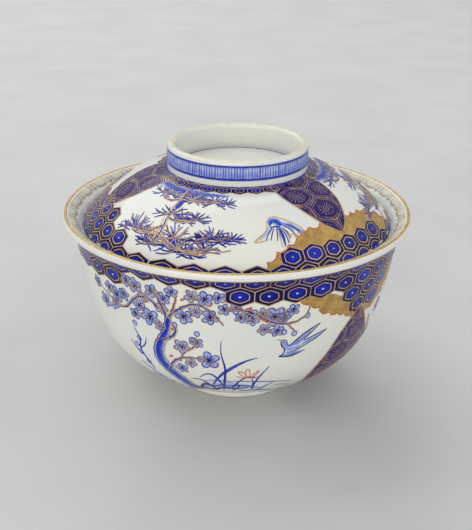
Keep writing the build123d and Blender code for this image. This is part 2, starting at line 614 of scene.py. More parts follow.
class Painting:
    """Everything painted on one surface, gathered by pigment into closed films of paint."""

    FILM_SUNK = 0.03            # millimetres that a film reaches under the glaze
    TONE_LIFT = 0.006           # a denser stroke lies this much higher, so it covers a thinner one
    DENSEST = 1.2               # tone past which a stroke lies no higher
    WELD = 1e-5                 # points closer than this, in degrees and millimetres, are one
    SLIVER = 1e-6               # edges shorter than this are dissolved
    SOFT_WASH = 0.8             # a wash wider than this thins out towards its edges

    def __init__(self, prefix: str, surface: Surface, body: str) -> None:
        """Starts with nothing painted.

        Args:
            prefix: Start of each piece's name.
            surface: The surface to paint.
            body: The body that the pieces move with.
        """
        self.prefix = prefix
        self.surface = surface
        self.body = body
        self.patches: dict[Pigment, list[bpy.types.Mesh]] = {}
        self.region: Region | None = None
        self.turn = 0.0             # what is painted next is turned by this round the body
        self.chance = random.Random(SEED + len(prefix))

    @contextmanager
    def within(self, region: Region) -> Iterator[None]:
        """Keeps whatever is painted meanwhile inside a region.

        Args:
            region: The region.

        Yields:
            Nothing.
        """
        self.region = region
        yield
        self.region = None

    def film(
        self,
        pigment: Pigment,
        place: Place,
        columns: int,
        rows: int,
        shape: Callable[[np.ndarray, np.ndarray], np.ndarray],
        tone: float | Callable[[np.ndarray, np.ndarray], np.ndarray] = 1.0,
        closed: bool = False,
    ) -> None:
        """Paints one patch: a grid whose points a function moves into shape.

        Args:
            pigment: What it is painted with.
            place: The flat sheet that it is drawn on.
            columns: Spans of the grid lengthwise.
            rows: Spans across.
            shape: Takes the grid's length and width shares, 0 to 1, and gives points on the sheet.
            tone: Density of the paint, or a function of the same two shares.
            closed: Whether the grid's two ends, or one whole side, meet and are merged.
        """
        patch = bmesh.new()
        tones = patch.verts.layers.float.new("tone")
        points = bmesh.ops.create_grid(patch, x_segments=columns, y_segments=rows, size=0.5)["verts"]
        shares = np.array([p.co[:2] for p in points]) + 0.5
        length, width = shares[:, 0], shares[:, 1]
        places = place.drawn(np.asarray(shape(length, width), float), self.surface)
        inside = np.ones(len(points), bool)
        if self.region is not None:
            places, inside = self.region.clamp(places)
        places = places + (self.turn, 0)
        density = tone(length, width) if callable(tone) else np.full(len(points), float(tone))
        lift = pigment.lift + self.TONE_LIFT * np.minimum(density, self.DENSEST)
        for point, (angle, along), value, high, kept in zip(points, places, density, lift, inside):
            point.co = (angle, along, high)
            point[tones] = value
            point.tag = bool(kept)
        if not inside.all():
            outside = {f for p in points for f in p.link_faces if not any(q.tag for q in f.verts)}
            bmesh.ops.delete(patch, geom=list(outside), context="FACES")
        if closed:
            bmesh.ops.remove_doubles(patch, verts=patch.verts[:], dist=self.WELD)
        if patch.faces:
            mesh = bpy.data.meshes.new("patch")
            patch.to_mesh(mesh)
            self.patches.setdefault(pigment, []).append(mesh)
        patch.free()

    def ribbon(
        self,
        pigment: Pigment,
        place: Place,
        line: np.ndarray,
        widths: Sequence[float],
        tone: float = 1.0,
        closed: bool = False,
    ) -> None:
        """Paints a ribbon along a line of points on the sheet.

        Args:
            pigment: What it is painted with.
            place: The flat sheet.
            line: The ribbon's centre line.
            widths: Its width at even steps from start to end, blended between them.
            tone: Density of the paint.
            closed: Whether the line ends where it starts.
        """
        steps = np.gradient(line, axis=0)
        if closed:
            steps[0] = steps[-1] = line[1] - line[-2]
        steps /= np.maximum(np.linalg.norm(steps, axis=1), 1e-9)[:, None]
        across = np.stack([-steps[:, 1], steps[:, 0]], axis=1)
        count = len(line) - 1
        shares = np.linspace(0, 1, len(line))
        breadth = np.interp(shares, np.linspace(0, 1, len(widths)), widths)

        def shape(length: np.ndarray, width: np.ndarray) -> np.ndarray:
            """The grid bent along the line."""
            index = np.rint(length * count).astype(int)
            return line[index] + across[index] * ((width - 0.5) * breadth[index])[:, None]

        def softened(length: np.ndarray, width: np.ndarray) -> np.ndarray:
            """The tone, thinner towards both edges."""
            return tone * (1 - 0.85 * np.abs(2 * width - 1) ** 1.7)

        widest = max(widths) * place.size
        rows = max(1, round(widest / 1.6))
        if pigment is Pigment.WASH and widest > self.SOFT_WASH:
            self.film(pigment, place, count, max(4, rows), shape, softened, closed)
        else:
            self.film(pigment, place, count, rows, shape, tone, closed)

    def stroke(
        self,
        pigment: Pigment,
        places: Sequence[Point],
        widths: Sequence[float],
        tone: float = 1.0,
        step: float = 1.1,
    ) -> None:
        """Paints a brush stroke through places given on the surface.

        Args:
            pigment: What it is painted with.
            places: Angle and distance along of each place.
            widths: Width in millimetres at even steps from start to end.
            tone: Density of the paint.
            step: Largest distance between the ribbon's points.
        """
        middle = places[len(places) // 2]
        sheet = Place(*middle)
        line = smooth_line(sheet.local(places, self.surface), step=step)
        self.ribbon(pigment, sheet, line, widths, tone)

    def disc(
        self,
        pigment: Pigment,
        place: Place,
        size: Point,
        centre: Point = (0.0, 0.0),
        turn: float = 0.0,
        tones: Point = (1.0, 1.0),
        sides: int = 12,
    ) -> None:
        """Paints a filled oval.

        Args:
            pigment: What it is painted with.
            place: The flat sheet.
            size: Half lengths of the oval.
            centre: Its middle on the sheet.
            turn: Its turn on the sheet, in degrees.
            tones: Density at the middle and at the edge.
            sides: Number of points round it.
        """
        def shape(length: np.ndarray, width: np.ndarray) -> np.ndarray:
            """The grid bent round the oval's middle."""
            across, up = size[0] * width, size[1] * width
            return placed(across * np.cos(math.tau * length), up * np.sin(math.tau * length), centre, turn)

        rings = max(1, round(max(size) * place.size / 1.3))
        self.film(
            pigment, place, sides, rings, shape,
            lambda length, width: tones[0] + (tones[1] - tones[0]) * width, closed=True,
        )

    def oval(
        self,
        pigment: Pigment,
        place: Place,
        size: Point,
        breadth: float,
        centre: Point = (0.0, 0.0),
        turn: float = 0.0,
        tone: float = 1.0,
        sides: int = 14,
    ) -> None:
        """Paints the outline of an oval.

        Args:
            pigment: What it is painted with.
            place: The flat sheet.
            size: Half lengths of the oval.
            breadth: Width of the line.
            centre: Its middle on the sheet.
            turn: Its turn on the sheet, in degrees.
            tone: Density of the paint.
            sides: Number of points round it.
        """
        sweep = np.linspace(0, math.tau, sides + 1)
        line = placed(size[0] * np.cos(sweep), size[1] * np.sin(sweep), centre, turn)
        self.ribbon(pigment, place, line, (breadth, breadth), tone, closed=True)

    def field(
        self,
        pigment: Pigment,
        first: np.ndarray,
        second: np.ndarray,
        tones: Point = (1.0, 1.0),
        rows: int | None = None,
    ) -> None:
        """Fills the space between two lines of places that have the same number of points.

        Args:
            pigment: What it is painted with.
            first: One edge, as angle and distance along.
            second: The other edge.
            tones: Density at the first and the second edge.
            rows: Spans between them, or None for about one each 1.8 mm.
        """
        count = len(first) - 1
        middle = (first.mean(axis=0) + second.mean(axis=0)) / 2
        sheet = Place(float(middle[0]), float(middle[1]))
        near = np.array(sheet.local(first, self.surface))
        far = np.array(sheet.local(second, self.surface))
        if rows is None:
            rows = max(1, math.ceil(np.linalg.norm(far - near, axis=1).max() / 1.8))

        def shape(length: np.ndarray, width: np.ndarray) -> np.ndarray:
            """The grid stretched from one edge to the other."""
            index = np.rint(length * count).astype(int)
            return near[index] * (1 - width)[:, None] + far[index] * width[:, None]

        self.film(
            pigment, sheet, count, rows, shape,
            lambda length, width: tones[0] + (tones[1] - tones[0]) * width,
        )

    def finish(self, materials: dict[Pigment, bpy.types.Material], limit: float | None = None) -> None:
        """Gives each film its thickness, wraps it onto the surface and makes it a piece.

        Args:
            materials: The finish of each pigment.
            limit: Distance along the surface past which nothing is kept, or None.
        """
        for pigment, patches in self.patches.items():
            bm = bmesh.new()
            for mesh in patches:
                bm.from_mesh(mesh)
            bpy.data.batch_remove(patches)
            if limit is not None:
                bmesh.ops.bisect_plane(
                    bm, geom=bm.verts[:] + bm.edges[:] + bm.faces[:], dist=self.SLIVER,
                    plane_co=(0, limit, 0), plane_no=(0, 1, 0), clear_outer=True,
                )
            bmesh.ops.dissolve_degenerate(bm, edges=bm.edges[:], dist=self.SLIVER)
            bmesh.ops.delete(bm, geom=[v for v in bm.verts if not v.link_faces], context="VERTS")
            sunk = bmesh.ops.extrude_face_region(bm, geom=bm.faces[:], use_keep_orig=True)["geom"]
            for vertex in (v for v in sunk if isinstance(v, bmesh.types.BMVert)):
                vertex.co.z = -self.FILM_SUNK
            wrapped = self.surface.wrap(np.array([v.co[:] for v in bm.verts]))
            for vertex, point in zip(bm.verts, wrapped):
                vertex.co = point
            bmesh.ops.recalc_face_normals(bm, faces=bm.faces[:])
            piece = as_piece(f"{self.prefix}_{pigment.label}", bm, materials[pigment])
            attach(piece, self.body)
            LOG.info("%s: %d faces", piece.name, len(piece.data.polygons))


def as_piece(name: str, bm: bmesh.types.BMesh, material: bpy.types.Material) -> bpy.types.Object:
    """Turns a finished bmesh into an object at the origin.

    Args:
        name: The piece's name.
        bm: Its shape, in metres, which is freed.
        material: Its finish.

    Returns:
        The new object.
    """
    mesh = bpy.data.meshes.new(name)
    bm.to_mesh(mesh)
    bm.free()
    mesh.materials.append(material)
    mesh.shade_smooth()
    mesh.set_sharp_from_angle(angle=math.radians(SHARP_ANGLE))
    piece = bpy.data.objects.new(name, mesh)
    bpy.context.scene.collection.objects.link(piece)
    return piece


def turned(
    name: str, outline: np.ndarray, material: bpy.types.Material, closed: bool, steps: int = 360
) -> bpy.types.Object:
    """Spins an outline about the vertical axis.

    Args:
        name: The piece's name.
        outline: Radius and height of each point, in millimetres.
        material: Its finish.
        closed: Whether the outline is a loop. If not, its two ends lie on the axis.
        steps: Number of faces round the axis.

    Returns:
        The new object.
    """
    bm = bmesh.new()
    points = [bm.verts.new((0.0, -radius * MM, height * MM)) for radius, height in outline]
    pairs = list(zip(points, points[1:])) + ([(points[-1], points[0])] if closed else [])
    lines = [bm.edges.new(pair) for pair in pairs]
    bmesh.ops.spin(
        bm, geom=points + lines, cent=(0, 0, 0), axis=(0, 0, 1), dvec=(0, 0, 0),
        angle=math.tau, steps=steps, use_merge=True,
    )
    bmesh.ops.remove_doubles(bm, verts=bm.verts[:], dist=WELD)
    bmesh.ops.dissolve_degenerate(bm, edges=bm.edges[:], dist=SLIVER)
    bmesh.ops.recalc_face_normals(bm, faces=bm.faces[:])
    return as_piece(name, bm, material)


# ---------------------------------------------------------------------------------------------
# Porcelain
# ---------------------------------------------------------------------------------------------

@dataclass(frozen=True)
class BowlShape:
    """Turned shape of the bowl: round belly, steep wall, everted lip and a separate foot ring."""

    # Millimetres: single sizes, then points of the outline as radius and height.
    wall: float = 2.6
    foot_radius: float = 21.3
    foot_height: float = 5.5
    foot_wall: float = 2.6
    foot_round: float = 1.0     # radius of the foot's rounded edge
    # The third number of each row is the outline's slope in degrees.
    belly: tuple = (
        (30.6, 8.2, 19), (37.2, 12.6, 40), (44.6, 21.0, 56), (48.6, 31.0, 73.5), (52.3, 47.5, 78.5),
    )
    neck: Point = (53.8, 56.5)  # where the wall starts to flare into the lip
    lip: tuple = ((57.3, 60.65), (57.5, 61.8), (57.1, 62.65))
    flare: tuple = ((56.1, 62.65), (52.6, 60.4), (50.55, 57.45), (49.95, 54.5))

    def outside(self) -> np.ndarray:
        """The outer line from the foot up to the lip's seat.

        Returns:
            Radius and height of each point, in millimetres.
        """
        stations = [(self.foot_radius, self.foot_height)] + [s[:2] for s in self.belly] + [self.neck]
        return joined(
            smooth_line(stations, 10, 82), smooth_line([self.neck, self.lip[0]], 82, 28, 0.35),
            arc_line(*self.lip),
        )

    def flared_rim(self) -> np.ndarray:
        """The line from the lip's seat down the flared rim to the throat."""
        return smooth_line(self.flare, 202, 272, 0.35)

    def inside(self) -> np.ndarray:
        """The line from the throat down the inner wall to the floor's edge.

        Returns:
            Radius and height of each point, in millimetres.
        """
        inner = [
            (r - self.wall * math.sin(math.radians(a)), z + self.wall * math.cos(math.radians(a)))
            for r, z, a in reversed(self.belly)
        ]
        floor_edge = (self.foot_radius, self.foot_height + self.wall)
        return smooth_line([self.flare[-1], *inner, floor_edge], 268, 182, 0.8)

    def body(self) -> np.ndarray:
        """The whole bowl without its foot, from the axis and back to it.

        Returns:
            Radius and height of each point, in millimetres.
        """
        floor = self.foot_height + self.wall
        under = [(r, self.foot_height) for r in (0, 8, 16)]
        over = [(r, floor) for r in (14, 7, 0)]
        return joined(under, self.outside(), self.flared_rim(), self.inside(), over)

    def foot(self) -> np.ndarray:
        """The foot ring's closed section, with glaze pooled where it meets the bowl.

        Returns:
            Radius and height of each point, in millimetres.
        """
        r, h, t, e = self.foot_radius, self.foot_height, self.foot_wall, self.foot_round
        corner = e * (1 - math.sqrt(0.5))
        pool = arc_line((r + 1.0, h + 0.12), (r + 0.28, h - 0.30), (r, h - 1.1), 8)
        return joined(
            [(r - t, h), (r, h + 0.01)], pool, [(r, 3.0)],
            arc_line((r, e), (r - corner, corner), (r - e, 0), 8),
            arc_line((r - t + e, 0), (r - t + corner, corner), (r - t, e), 8), [(r - t, 3.0)],
        )


@dataclass(frozen=True)
class LidShape:
    """Turned shape of the domed lid and of the tall ring that it is lifted by."""

    # Millimetres: single sizes, and points as radius and height.
    wall: float = 2.2
    ring_radius: float = 23.1
    ring_bore: float = 20.2
    crown: float = 76.6         # height at which the ring stands on the dome
    dip: float = 0.5            # how much lower the dome's middle lies
    bulge: float = 2.95         # height of the outer face's arc over its chord
    edge: Point = (49.7, 58.7)  # centre of the rounded edge
    edge_round: float = 1.1     # and its radius
    edge_slope: float = 53.1    # degrees that the face falls by there
    ring_top: Point = (22.9, 83.1)
    ring_top_bore: Point = (20.5, 83.1)
    seat: tuple = ((22.3, 84.45), (21.1, 84.45))

    def marks(self) -> tuple[np.ndarray, np.ndarray, np.ndarray, np.ndarray]:
        """Works out what the outer face's arc is drawn from.

        Returns:
            Where the face ends, the way out of it there, its middle point and the way it leans.
        """
        slope = math.radians(self.edge_slope)
        across = np.array([math.sin(slope), math.cos(slope)])
        end = np.array(self.edge) + across * self.edge_round
        start = np.array([self.ring_radius, self.crown])
        chord = end - start
        lean = np.array([-chord[1], chord[0]]) / np.linalg.norm(chord)
        return end, across, (start + end) / 2 + lean * self.bulge, lean

    def outside(self) -> np.ndarray:
        """The outer face from the ring down to the edge, and half way round the edge.

        Returns:
            Radius and height of each point, in millimetres.
        """
        end, across, middle, _ = self.marks()
        tip = np.array(self.edge) + self.edge_round * np.array([across[1], -across[0]])
        shoulder = np.array(self.edge) + self.edge_round * math.sqrt(0.5) * np.array(
            [across[0] + across[1], across[1] - across[0]]
        )
        face = arc_line((self.ring_radius, self.crown), tuple(middle), tuple(end), 56)
        return joined(face, arc_line(tuple(end), tuple(shoulder), tuple(tip), 6))

    def dome(self) -> np.ndarray:
        """The whole dome's section, from the axis and back to it.

        Returns:
            Radius and height of each point, in millimetres.
        """
        _, across, middle, lean = self.marks()
        centre = np.array(self.edge)
        tip = self.outside()[-1]
        back = centre - across * self.edge_round
        corner = centre - self.edge_round * math.sqrt(0.5) * np.array(
            [across[0] - across[1], across[1] + across[0]]
        )
        under = self.crown - self.dip - self.wall
        cup = smooth_line([(0, self.crown - self.dip), (self.ring_bore, self.crown)], 0, 4, 1.6)
        return joined(
            cup, [(21.6, self.crown)], self.outside(), arc_line(tuple(tip), tuple(corner), tuple(back), 6),
            arc_line(tuple(back), tuple(middle - lean * self.wall), (self.ring_bore, under), 44),
            [(10.0, under), (0.0, under)],
        )

    def ring_outside(self) -> np.ndarray:
        """The ring's outer face, from the dome up to the gilt seat."""
        face = smooth_line([(self.ring_radius, self.crown), self.ring_top], step=0.5)
        return joined(face, smooth_line([self.ring_top, self.seat[0]], 90, 170, 0.15))

    def ring(self) -> np.ndarray:
        """The ring's closed section, slightly sunk into the dome.

        Returns:
            Radius and height of each point, in millimetres.
        """
        top = smooth_line([self.seat[1], self.ring_top_bore], 190, 270, 0.15)
        foot = [(self.ring_bore, self.crown), (self.ring_bore + 0.1, self.crown - 0.2)]
        outer_foot = [(self.ring_radius - 0.1, self.crown - 0.2)]
        return joined(self.ring_outside(), top, [(20.35, 80)], foot, outer_foot)


@dataclass(frozen=True)
class GiltEdge:
    """A line of gold fired onto a rim, slightly domed across."""

    inner: float                # its inner radius, in millimetres
    outer: float                # its outer radius
    seat: float                 # height of the rim that it lies on
    rise: float = 0.24          # height of its middle over the rim

    def section(self) -> np.ndarray:
        """The closed section of the line.

        Returns:
            Radius and height of each point, in millimetres.
        """
        middle = (self.inner + self.outer) / 2
        cap = arc_line((self.outer, self.seat), (middle, self.seat + self.rise), (self.inner, self.seat), 10)
        return joined(cap, [(self.inner + 0.08, self.seat - 0.12), (self.outer - 0.08, self.seat - 0.12)])


# ---------------------------------------------------------------------------------------------
# Painted ornament
# ---------------------------------------------------------------------------------------------

HEXAGON = ((0, .5), (.5, .25), (.5, -.25), (0, -.5), (-.5, -.25), (-.5, .25), (0, .5))
HEXAGON_SIDE = 3                # spans on each side of a drawn hexagon


def scallops(stations: Sequence[Point], degree: float, swell: float, samples: int = 7) -> np.ndarray:
    """Draws one bulging lobe between each station and the next.

    Args:
        stations: Angle and distance along of the points between lobes.
        degree: Millimetres in one degree of turn there.
        swell: How far a lobe bulges past the straight line, as a share of its length. Its sign is the side.
        samples: Number of spans in each lobe.

    Returns:
        Angle and distance along of every point.
    """
    runs = []
    for first, last in zip(stations, stations[1:]):
        a, b = np.array(first) * (degree, 1), np.array(last) * (degree, 1)
        middle = (a + b) / 2 + swell * np.array([b[1] - a[1], a[0] - b[0]])
        runs.append(arc_line(tuple(a), tuple(middle), tuple(b), samples) / (degree, 1))
    return joined(*runs)


def hexagon(
    width: float, height: float, inset: float = 1.0, rounding: float = 0.0, side: int = HEXAGON_SIDE
) -> np.ndarray:
    """A closed hexagon with a corner at the top.

    Args:
        width: Distance between its upright sides.
        height: Distance between its top and bottom corners.
        inset: Its size as a share of the full cell.
        rounding: How far its corners are pulled in, 0 to 1.
        side: Number of spans on each side.

    Returns:
        Its points, with the first one repeated at the end.
    """
    shares = np.linspace(0, 6, 6 * side + 1)
    points = np.stack([np.interp(shares, range(7), [c[k] for c in HEXAGON]) for k in (0, 1)], axis=1)
    loop = points[:-1]
    softened = (np.roll(loop, 1, axis=0) + loop + np.roll(loop, -1, axis=0)) / 3
    loop = loop * (1 - rounding) + softened * rounding
    return np.vstack([loop, loop[:1]]) * (width * inset, height * inset)


@dataclass(frozen=True)
class Honeycomb:
    """A border of cobalt cells under a gold net, each with a smaller gold hexagon inside."""

    columns: int                            # cells round the body
    rows: tuple[float, ...]                 # distance along of each row
    height: float                           # of a cell, between its top and bottom corners
    anchors: tuple[Point, ...]              # columns whose angles are known
    reach: tuple[tuple[Point, ...], ...]    # angles between which each row is painted
    repeat: float                           # degrees after which the reach starts again
    start: float                            # angle from which the reach is counted
    net: float = 0.30                       # width of the net's lines
    ring: float = 0.27                      # width of the inner hexagon's line
    ring_share: float = 0.66                # size of the inner hexagon in its cell
    hole: float = 0.09                      # size of the reserved dot in its cell

    def angle(self, column: float) -> float:
        """Finds where a column stands, with the hand-drawn border's uneven spacing.

        Args:
            column: The column, whole or half.

        Returns:
            Its angle in degrees.
        """
        turns, rest = divmod(column - self.anchors[0][0], self.columns)
        first, last = zip(*self.anchors)
        return float(np.interp(rest + self.anchors[0][0], first, last)) + 360 * turns

    def included(self, row: int, angle: float) -> bool:
        """Whether the border reaches down to this row here."""
        within = (angle - self.start) % self.repeat + self.start
        return any(low <= within <= high for low, high in self.reach[row])

    def paint(self, painting: Painting) -> None:
        """Paints every cell.

        Args:
            painting: The surface's painting.
        """
        up = painting.surface.up
        drawn: set[tuple] = set()
        for row, along in enumerate(self.rows):
            for index in range(self.columns):
                column = index + 0.5 * (row % 2)
                angle = self.angle(column)
                if self.included(row, angle):
                    self.cell(painting, column, angle, along)
                    self.mesh(painting, column, along, up * self.height, drawn)

    def mesh(self, painting: Painting, column: float, along: float, height: float, drawn: set) -> None:
        """Paints the gold net round one cell, leaving out the sides that a neighbour already has.

        Args:
            painting: The surface's painting.
            column: The cell's column.
            along: Its distance along.
            height: Its height, negative where the distance grows towards a picture's foot.
            drawn: The sides painted so far, which it adds to.
        """
        corners = [(column + x, along + y * height) for x, y in HEXAGON]
        for first, last in zip(corners, corners[1:]):
            key = tuple(sorted((round(c % self.columns, 2), round(s, 2)) for c, s in (first, last)))
            if key not in drawn:
                drawn.add(key)
                ends = [(self.angle(c), s) for c, s in (first, last)]
                width = self.net * painting.chance.uniform(0.85, 1.15)
                painting.stroke(Pigment.GOLD, ends, (width, width * 0.85, width), 1.0, 1.2)

    def cell(self, painting: Painting, column: float, angle: float, along: float) -> None:
        """Paints one cell's ground and its inner hexagon.

        Args:
            painting: The surface's painting.
            column: The cell's column.
            angle: The angle at which it stands.
            along: Its distance along.
        """
        chance = painting.chance
        width = (self.angle(column + 0.5) - self.angle(column - 0.5)) * painting.surface.scale(along)
        place = Place(angle, along)
        outline = hexagon(width, self.height)
        sides = 6 * HEXAGON_SIDE

        def shape(length: np.ndarray, share: np.ndarray) -> np.ndarray:
            """The grid bent round the cell, round a small reserved dot."""
            index = np.rint(length * sides).astype(int)
            return outline[index] * (self.hole + (1 - self.hole) * share)[:, None]

        depth = chance.uniform(0.0, 0.55)
        painting.film(
            Pigment.GROUND, place, sides, 3, shape,
            lambda length, share: depth + 0.85 * np.clip((share - 0.25) / 0.4, 0, 1), closed=True,
        )
        size = self.ring_share * chance.uniform(0.94, 1.05)
        inner = hexagon(width, self.height, size, 0.5)
        inner += (chance.uniform(-0.15, 0.15), chance.uniform(-0.12, 0.12))
        painting.ribbon(Pigment.GOLD, place, inner, (self.ring, self.ring * 1.3, self.ring), 1.0, True)


@dataclass(frozen=True)
class BrocadeLeaf:
    """A pointed panel of dark cobalt brocade: gold hexagons with a chrysanthemum in each."""

    left: tuple[Point, ...]     # its left edge, from the body's middle to the tip
    right: tuple[Point, ...]    # its right edge
    centre: Point               # where one hexagon of the lattice stands
    pitch: float = 11.3         # width of a hexagon
    row: float = 7.6            # distance between two rows
    reach: int = 4              # rows and columns on each side of the centre
    petals: int = 15            # of a chrysanthemum

    def paint(self, painting: Painting) -> None:
        """Paints the panel's ground, lattice, flowers and edge.

        Args:
            painting: The surface's painting.
        """
        surface = painting.surface
        degree = surface.scale(self.centre[1])
        left = smooth_line(np.array(self.left) * (degree, 1), count=26) / (degree, 1)
        right = smooth_line(np.array(self.right) * (degree, 1), count=26) / (degree, 1)
        painting.field(Pigment.PANEL, left, right, (0.9, 1.0))
        region = Region(np.vstack([left, right[::-1]]), surface)
        with painting.within(region):
            for row in range(-self.reach, self.reach + 1):
                for column in range(-self.reach, self.reach + 1):
                    self.cell(painting, column + 0.5 * (row % 2), row)
        for edge in (left, right):
            painting.stroke(Pigment.GOLD, [tuple(p) for p in edge[::2]], (0.34, 0.42, 0.34), 1.1)

    def cell(self, painting: Painting, column: float, row: int) -> None:
        """Paints one hexagon of the lattice and its flower.

        Args:
            painting: The surface's painting.
            column: Its column from the centre, whole or half.
            row: Its row from the centre.
        """
        surface, chance = painting.surface, painting.chance
        along = self.centre[1] + row * self.row
        if not 0 <= along <= surface.length:
            return
        degree = surface.scale(along)
        place = Place(self.centre[0] + column * self.pitch / degree, along, chance.uniform(-4, 4))
        width, height = self.pitch, self.row / 0.75
        for share, line in ((0.97, 0.30), (0.81, 0.20)):
            outline = hexagon(width, height, share, 0.25)
            painting.ribbon(Pigment.BROCADE, place, outline, (line, line), 1.0, True)
        for index in range(self.petals):
            angle = 360 * (index + 0.5) / self.petals
            x, y = math.cos(math.radians(angle)), math.sin(math.radians(angle))
            line = np.array([(x * r, y * r * 0.9) for r in np.linspace(1.25, 3.05, 4)])
            painting.ribbon(Pigment.BROCADE, place, line, (0.10, 0.18, 0.30), 1.0)
        painting.oval(Pigment.BROCADE, place, (0.95, 0.88), 0.18)
        painting.disc(Pigment.LINE, place, (0.45, 0.42), tones=(0.0, 0.2), sides=8)


@dataclass(frozen=True)
class GoldCloud:
    """A gold cloud along a border, with a scalloped red edge."""

    stations: tuple[Point, ...]     # where two lobes of its edge meet
    back: tuple[Point, ...]         # its other side, which the border hides
    swell: float = 0.28             # how far a lobe bulges, as a share of its length
    line: float = 0.38              # width of the red edge
    lobe: int = 7                   # points of the edge in one lobe
    plain: int = 3                  # lobes at its start without a curl

    def paint(self, painting: Painting) -> None:
        """Paints the cloud between its scalloped edge and a plain line that the border hides.

        Args:
            painting: The surface's painting.
        """
        along = float(np.mean([s for _, s in self.stations]))
        edge = scallops(self.stations, painting.surface.scale(along), self.swell * painting.surface.up)
        behind = np.interp(edge[:, 0], *zip(*self.back))
        painting.field(Pigment.CLOUD, edge, np.stack([edge[:, 0], behind], axis=1), (1.0, 0.6))
        painting.stroke(Pigment.RED, [tuple(p) for p in edge], (self.line, self.line * 0.8, self.line), 1.0)
        for start in range(self.plain * self.lobe, len(edge) - self.lobe, self.lobe):
            curl = edge[start : start + self.lobe - 2] + (0.4, 1.7 * np.sign(behind.mean() - along))
            painting.stroke(Pigment.RED, [tuple(p) for p in curl], (0.1, self.line * 0.7, 0.1), 0.6)


@dataclass(frozen=True)
class Band:
    """Rings of colour round a body: pigment, first and last distance along, and the tone at each."""

    rings: tuple[tuple[Pigment, float, float, float, float], ...]
    steps: int = 240

    def paint(self, painting: Painting) -> None:
        """Paints every ring.

        Args:
            painting: The surface's painting.
        """
        angles = np.linspace(0, 360, self.steps + 1)
        for pigment, low, high, near, far in self.rings:
            first = np.stack([angles, np.full_like(angles, low)], axis=1)
            last = np.stack([angles, np.full_like(angles, high)], axis=1)
            painting.field(pigment, first, last, (near, far))


@dataclass(frozen=True)
class Bough:
    """One limb of a tree: its course, its widths, and how dark it is."""

    STOUT = 1.8                 # a limb wider than this is shaded as a trunk

    places: tuple[Point, ...]
    widths: tuple[float, ...]
    tone: float = 0.75          # of the wash
    line: float = 0.32          # width that its contours are drawn from

    def paint(self, painting: Painting) -> None:
        """Paints the limb's wash and contours, and a trunk's streak of cobalt and bark strokes.

        Args:
            painting: The surface's painting.
        """
        middle = self.places[len(self.places) // 2]
        sheet = Place(*middle)
        course = smooth_line(sheet.local(self.places, painting.surface), step=0.9)
        painting.ribbon(Pigment.WASH, sheet, course, self.widths, self.tone)
        steps = np.gradient(course, axis=0)
        across = np.stack([-steps[:, 1], steps[:, 0]], axis=1) / np.linalg.norm(steps, axis=1)[:, None]
        shares = np.linspace(0, 1, len(course))
        breadth = np.interp(shares, np.linspace(0, 1, len(self.widths)), self.widths)
        wave = 0.12 * np.sin(np.arange(len(course)) * 1.9)
        thin = max(self.widths) < self.STOUT
        sides = [(0.5, Pigment.GOLD if thin else Pigment.LINE), (-0.5, Pigment.GOLD)]
        if thin:
            sides.append((0.15, Pigment.LINE))
        for side, paint in sides:
            contour = course + across * (breadth * side + wave)[:, None]
            breadth_here = self.line * (0.78 if thin and paint is Pigment.GOLD else 1.15)
            widths = (breadth_here, breadth_here * 1.2, breadth_here * 0.8)
            painting.ribbon(paint, sheet, contour, widths, 0.9)
        if max(self.widths) > self.STOUT:
            streak = course + across * (breadth * 0.12)[:, None]
            thick = [w * 0.42 for w in self.widths]
            painting.ribbon(Pigment.GROUND, sheet, streak, thick, 0.15)
            chance = painting.chance
            for index in range(2, len(course) - 3, 2):
                start = course[index] + across[index] * breadth[index] * chance.uniform(-0.35, 0.35)
                mark = np.linspace(start, start + 1.8 * steps[index], 3)
                painting.ribbon(Pigment.LINE, sheet, mark, (0.1, 0.3, 0.1), 0.7)


@dataclass(frozen=True)
class Blossom:
    """A plum blossom: rounded petals in pale wash with dark contours round a dark heart."""

    place: Point
    radius: float
    turn: float = 0.0
    petals: int = 5
    accent: bool = False        # whether every petal has a gold rim, or only some

    def paint(self, painting: Painting) -> None:
        """Paints the petals, stamens and heart.

        Args:
            painting: The surface's painting.
        """
        place = Place(*self.place, self.turn, self.radius)
        chance = painting.chance
        for index in range(self.petals):
            angle = 360 * index / self.petals + 90 + chance.uniform(-7, 7)
            x, y = math.cos(math.radians(angle)), math.sin(math.radians(angle))
            centre = (x * 0.62, y * 0.60)
            size = (0.37 * chance.uniform(0.9, 1.1), 0.34 * chance.uniform(0.9, 1.1))
            painting.disc(Pigment.WASH, place, size, centre, angle, (0.30, 0.75), 10)
            painting.oval(Pigment.LINE, place, size, 0.23 / self.radius, centre, angle, 1.05, 12)
            if self.accent or index % 2:
                rim = (size[0] * 1.14, size[1] * 1.14)
                painting.oval(Pigment.GOLD, place, rim, 0.19 / self.radius, centre, angle, 1.0, 12)
            stamen = np.array([(x * r, y * r) for r in (0.18, 0.40, 0.62)])
            painting.ribbon(Pigment.LINE, place, stamen, (0.10, 0.06, 0.10), 0.7)
        painting.disc(Pigment.LINE, place, (0.24, 0.22), tones=(1.2, 0.9), sides=8)


@dataclass(frozen=True)
class Tree:
    """A tree: its limbs, blossom, buds and touches of red."""

    boughs: tuple[Bough, ...]
    blossoms: tuple[Blossom, ...] = ()
    buds: tuple[Point, ...] = ()
    accents: tuple[Point, ...] = ()

    def paint(self, painting: Painting) -> None:
        """Paints the limbs, then the blossom and the red touches.

        Args:
            painting: The surface's painting.
        """
        for bough in self.boughs:
            bough.paint(painting)
        for blossom in self.blossoms:
            blossom.paint(painting)
        for angle, along in self.buds:
            place = Place(angle, along)
            painting.disc(Pigment.WASH, place, (0.85, 1.0), tones=(0.3, 0.6), sides=9)
            painting.oval(Pigment.LINE, place, (0.85, 1.0), 0.26, tone=0.6, sides=9)
        for angle, along in self.accents:
            painting.disc(Pigment.RED, Place(angle, along), (0.75, 0.5), turn=30, sides=8)


